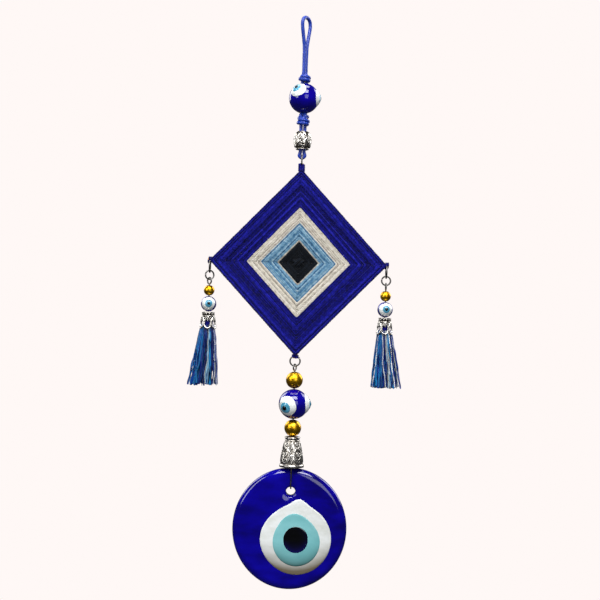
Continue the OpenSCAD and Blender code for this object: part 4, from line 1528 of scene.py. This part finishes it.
def tassel(side):
    """Three layers of shiny strips with twisted silver strands among the outermost."""
    strips = []
    for count, layer, seed in ((44, 1.0, 31), (34, 0.78, 32), (24, 0.5, 33)):
        strips += strip_paths(side, count, layer, seed + (5 if side == "right" else 0))
    piece = grow(
        f"{side}_tassel_strips",
        HANGING_STRIP,
        [(path, False) for path in strips],
        width=1.05 * MM,
        thickness=0.14 * MM,
        middle=tuple(middle(f"{side}_tassel_cap")),
        finish=FINISH["tassel_strips"],
    )
    dress(piece, f"{side}_drop", "tassel_strips", f"{side}_tassel_skirt")
    places = 24
    paths = strip_paths(side, places, 1.0, 51, 1.6)
    chosen = [paths[int(round(deg / 360 * places)) % places] for deg in TINSEL_AT[side]]
    silver = grow(
        f"{side}_tassel_tinsel",
        LAID_STRAND,
        [(path, False) for path in chosen],
        width=TINSEL_W[side],
        ring_spacing=0.25 * MM,
        sides=10,
        plies=2,
        ply_depth=0.45,
        lay=1.8 * MM,
        unevenness=0.05 * MM,
        fibres_per_area=0.0,
        fibre_length=0.0,
        finish=FINISH["tassel_thread"],
    )
    dress(silver, f"{side}_drop", "tassel_thread")


for side in ("left", "right"):
    plated_ball(f"{side}_gold_ball", f"{side}_gold_bead", f"{side}_gold")
    eye_bead(
        f"{side}_bead", middle(f"{side}_bead_glass"), size(f"{side}_bead_glass").z, PIN_BORE, 6.8 * MM,
        SMALL_AIMS, f"{side}_eye_bead", [(0.05, 0.0), (0.0, 0.03)], 0.06 * MM,
    )
    tassel_cap(side)
    tassel_tie(side)
    tassel(side)


# ---------------------------------------------------------------- glass disc

disc_lo, disc_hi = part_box("disc_glass")
DISC = (disc_lo + disc_hi) / 2
DISC_W, DISC_T, DISC_H = (disc_hi - disc_lo) / 2
HOLE_DROP = 12 * MM
HOLE_Z = disc_hi.z - HOLE_DROP - DISC.z
HOLE_RAD = 4.9 * MM / 2


def disc_front(x, z):
    """Depth of the disc's front face at a place measured from its middle."""
    share = math.sqrt((x / DISC_W) ** 2 + (z / DISC_H) ** 2)
    edge = max(0.0, (1 - share)) * (DISC_W + DISC_H) / 2
    slope = min(1.0, edge / (4.2 * MM))
    round_in = (1 - (1 - slope) ** 2.3) ** (1 / 2.3)
    crown = 0.35 * MM * (1 - share**2)
    dimple = 0.75 * MM * math.exp(-((math.hypot(x, z - HOLE_Z) / (4.3 * MM)) ** 4))
    wave = 0.07 * MM * noise.noise(Vector((x, 0.3, z)) * 70)
    return -(DISC_T - 0.35 * MM) * round_in - crown * slope + dimple + wave * slope


def disc_back(x, z):
    """Depth of the disc's back face: flatter, and wavy from the plate that it cooled on."""
    share = math.sqrt((x / DISC_W) ** 2 + (z / DISC_H) ** 2)
    edge = max(0.0, (1 - share)) * (DISC_W + DISC_H) / 2
    slope = min(1.0, edge / (2.2 * MM))
    round_in = (1 - (1 - slope) ** 2.2) ** (1 / 2.2)
    wave = 0.12 * MM * noise.noise(Vector((x, 4.7, z)) * 60)
    return (DISC_T - 0.15 * MM) * round_in + wave * slope


def disc_glass():
    """A melted glass disc, thick at the middle of its rim, with a pierced hole near its top."""
    steps, rings = 160, 72
    points = []
    for face in (disc_front, disc_back):
        for j in range(rings + 1):
            share = math.sin(j / rings * math.pi / 2) ** 1.15
            for i in range(steps):
                a = FULL * i / steps
                edge = Vector((DISC_W * math.cos(a), DISC_H * math.sin(a)))
                start = Vector((HOLE_RAD * math.cos(a), HOLE_Z + HOLE_RAD * math.sin(a)))
                x, z = start.lerp(edge, share)
                y = face(x, z) if j < rings else 0.0
                lip = math.exp(-(((math.hypot(x, z - HOLE_Z) - HOLE_RAD) / (0.45 * MM)) ** 2))
                y *= 1 - 0.14 * lip
                points.append((x, y, z))
    row = rings + 1
    faces = []
    for side in range(2):
        base = side * row * steps
        for j in range(rings):
            for i in range(steps):
                n = (i + 1) % steps
                a, b = base + j * steps, base + (j + 1) * steps
                quad = [a + i, a + n, b + n, b + i]
                faces.append(quad if side else quad[::-1])
    back = row * steps
    for i in range(steps):
        n = (i + 1) % steps
        faces.append([i, n, back + n, back + i])
    points = [Vector(p) + DISC for p in points]
    piece = mesh_piece("glass_disc", points, faces, FINISH["cobalt_glass"])
    work = bmesh.new()
    work.from_mesh(piece.data)
    bmesh.ops.remove_doubles(work, verts=work.verts, dist=0.001 * MM)
    bmesh.ops.recalc_face_normals(work, faces=work.faces)
    work.to_mesh(piece.data)
    work.free()
    dress(piece, "disc", "cobalt_glass", "disc_glass")


def bump_at(angle, where, width):
    """A smooth bump in an outline, 1 high at where, all in degrees."""
    gap = (angle - where + 180) % 360 - 180
    return math.exp(-((gap / width) ** 2))


def white_outline(angle):
    """Reach of the white drop in millimetres: round, with a point up and to the right."""
    point = 2.5 * bump_at(angle, 86, 13)
    flats = 0.75 * bump_at(angle, 132, 30) + 0.5 * bump_at(angle, -130, 26)
    return 18.35 + point - flats


def turquoise_outline(angle):
    """Reach of the turquoise in millimetres: an egg with its narrow end up."""
    return 12.4 + 2.6 * bump_at(angle, 99, 34) + 0.3 * bump_at(angle, -92, 45)


def pupil_outline(angle):
    """Reach of the pupil in millimetres, slightly taller than wide."""
    return 6.55 + 0.5 * abs(math.sin(math.radians(angle))) + 0.12 * bump_at(angle, 60, 40)


def glass_patch(name, node, slot, at_x, at_z, outline, proud, sunk):
    """A patch of molten glass pressed on the disc: it follows the face and has a soft edge, and its lower
    part is darkened as painted shade.
    """
    steps, rings = 128, 30
    points, thin_or_painted_shade = [], []
    for level in (proud, -sunk):
        points.append((at_x * MM, disc_front(at_x * MM, at_z * MM) - level * MM, at_z * MM))
        thin_or_painted_shade.append(0.0)
        for j in range(1, rings + 1):
            share = math.sin(j / rings * math.pi / 2)
            for i in range(steps):
                deg = 360 * i / steps
                a = math.radians(deg)
                ripple = noise.noise(Vector((math.cos(a) * 2, math.sin(a) * 2, proud * 9)))
                reach = outline(deg) * MM * share * (1 + 0.006 * ripple)
                x, z = at_x * MM + reach * math.cos(a), at_z * MM + reach * math.sin(a)
                lift = level
                if level > 0:
                    edge = min(1.0, (1 - share) * outline(deg) / 0.9)
                    lift = level * math.sqrt(max(0.0, 1 - (1 - edge) ** 2)) - 0.02
                points.append((x, disc_front(x, z) - lift * MM, z))
                # Painted shade: darker towards the lower and right side of the rim, and across the whole
                # lower half of the patch
                low = max(0.0, -math.sin(a)) * 0.8 + 0.2 * max(0.0, math.cos(a))
                lower_half_shade = 0.6 * max(0.0, -(z - at_z * MM) / (18 * MM)) ** 1.3
                thin_or_painted_shade.append(min(1.0, low * share**4 * 0.9 + lower_half_shade))
    layer = 1 + rings * steps
    faces = []
    for side in range(2):
        base = side * layer
        flip = side == 1
        fan = [[base, base + 1 + i, base + 1 + (i + 1) % steps] for i in range(steps)]
        rows = []
        for j in range(rings - 1):
            a, b = base + 1 + j * steps, base + 1 + (j + 1) * steps
            rows += [[a + i, b + i, b + (i + 1) % steps, a + (i + 1) % steps] for i in range(steps)]
        faces += [f[::-1] if flip else f for f in fan + rows]
    top, low = 1 + (rings - 1) * steps, layer + 1 + (rings - 1) * steps
    faces += [[top + i, low + i, low + (i + 1) % steps, top + (i + 1) % steps] for i in range(steps)]
    points = [Vector(p) + DISC for p in points]
    dress(mesh_piece(name, points, faces, FINISH[slot], thin_or_painted_shade), "disc", slot, node)


disc_glass()
glass_patch("white_drop", "disc_white", "white_glass", 3.3, -4.9, white_outline, 0.28, 0.3)
glass_patch("turquoise_ring", "disc_turquoise", "turquoise_glass", 3.8, -6.3, turquoise_outline, 0.45, 0.2)
glass_patch("black_pupil", "disc_pupil", "black_glass", 3.4, -5.1, pupil_outline, 0.62, 0.2)


# ---------------------------------------------------------------- studio


def soft_box(name, place, aim, wide, tall, watts):
    """A white soft box of so many metres, turned towards aim."""
    lamp = bpy.data.lights.new(name, "AREA")
    lamp.shape = "RECTANGLE"
    lamp.size, lamp.size_y = wide, tall
    lamp.energy = watts
    holder = bpy.data.objects.new(name, lamp)
    holder.location = place
    holder.rotation_euler = (Vector(aim) - Vector(place)).to_track_quat("-Z", "Y").to_euler()
    bpy.context.scene.collection.objects.link(holder)


def studio():
    """A pale room that the glass and metal see as nearly dark, a pale floor and six soft boxes."""
    pale = linear("#FFF8F6")
    scene = bpy.context.scene
    scene.view_settings.view_transform = "Standard"
    world = bpy.data.worlds.new("studio")
    world.use_nodes = True
    tree = world.node_tree
    tree.nodes.clear()
    seen = add(tree, "ShaderNodeBackground", {"Color": pale, "Strength": 1.0})
    fill = add(tree, "ShaderNodeBackground", {"Color": linear("#E6E8EE"), "Strength": 0.24})
    dark_room = add(tree, "ShaderNodeBackground", {"Color": linear("#E6E8EE"), "Strength": 0.05})
    ray = add(tree, "ShaderNodeLightPath").outputs
    unseen = [ray["Is Glossy Ray"], fill.outputs[0], dark_room.outputs[0]]
    lit = add(tree, "ShaderNodeMixShader", unseen)
    mixed = add(tree, "ShaderNodeMixShader", [ray["Is Camera Ray"], lit.outputs[0], seen.outputs[0]])
    add(tree, "ShaderNodeOutputWorld", {"Surface": mixed.outputs[0]})
    scene.world = world

    made, floor_tree = new_finish("studio_floor")
    glow = add(floor_tree, "ShaderNodeEmission", {"Color": pale, "Strength": 1.0})
    add(floor_tree, "ShaderNodeOutputMaterial", {"Surface": glow.outputs[0]})
    floor = bpy.data.meshes.new("floor")
    reach, drop = 6.0, -0.62
    corners = [(-reach, -reach, drop), (reach, -reach, drop), (reach, reach, drop), (-reach, reach, drop)]
    floor.from_pydata(corners, [], [[0, 1, 2, 3]])
    floor.materials.append(made)
    ground = bpy.data.objects.new("floor", floor)
    scene.collection.objects.link(ground)
    ground.visible_diffuse = False
    ground.visible_glossy = False

    aim = (0, 0, -0.15)
    soft_box("key_box", (0.05, -0.6, 0.66), aim, 0.8, 0.45, 12.5)
    soft_box("left_box", (-0.75, -0.55, 0.25), aim, 0.3, 0.7, 3.6)
    soft_box("top_box", (0.0, 0.1, 0.62), aim, 0.5, 0.3, 3)
    soft_box("front_fill", (0.4, -1.1, 0.1), aim, 0.5, 0.6, 2.4)
    soft_box("back_right", (0.7, 0.6, 0.25), aim, 0.45, 0.7, 4.0)
    soft_box("back_left", (-0.7, 0.75, 0.3), aim, 0.45, 0.7, 4.0)


studio()
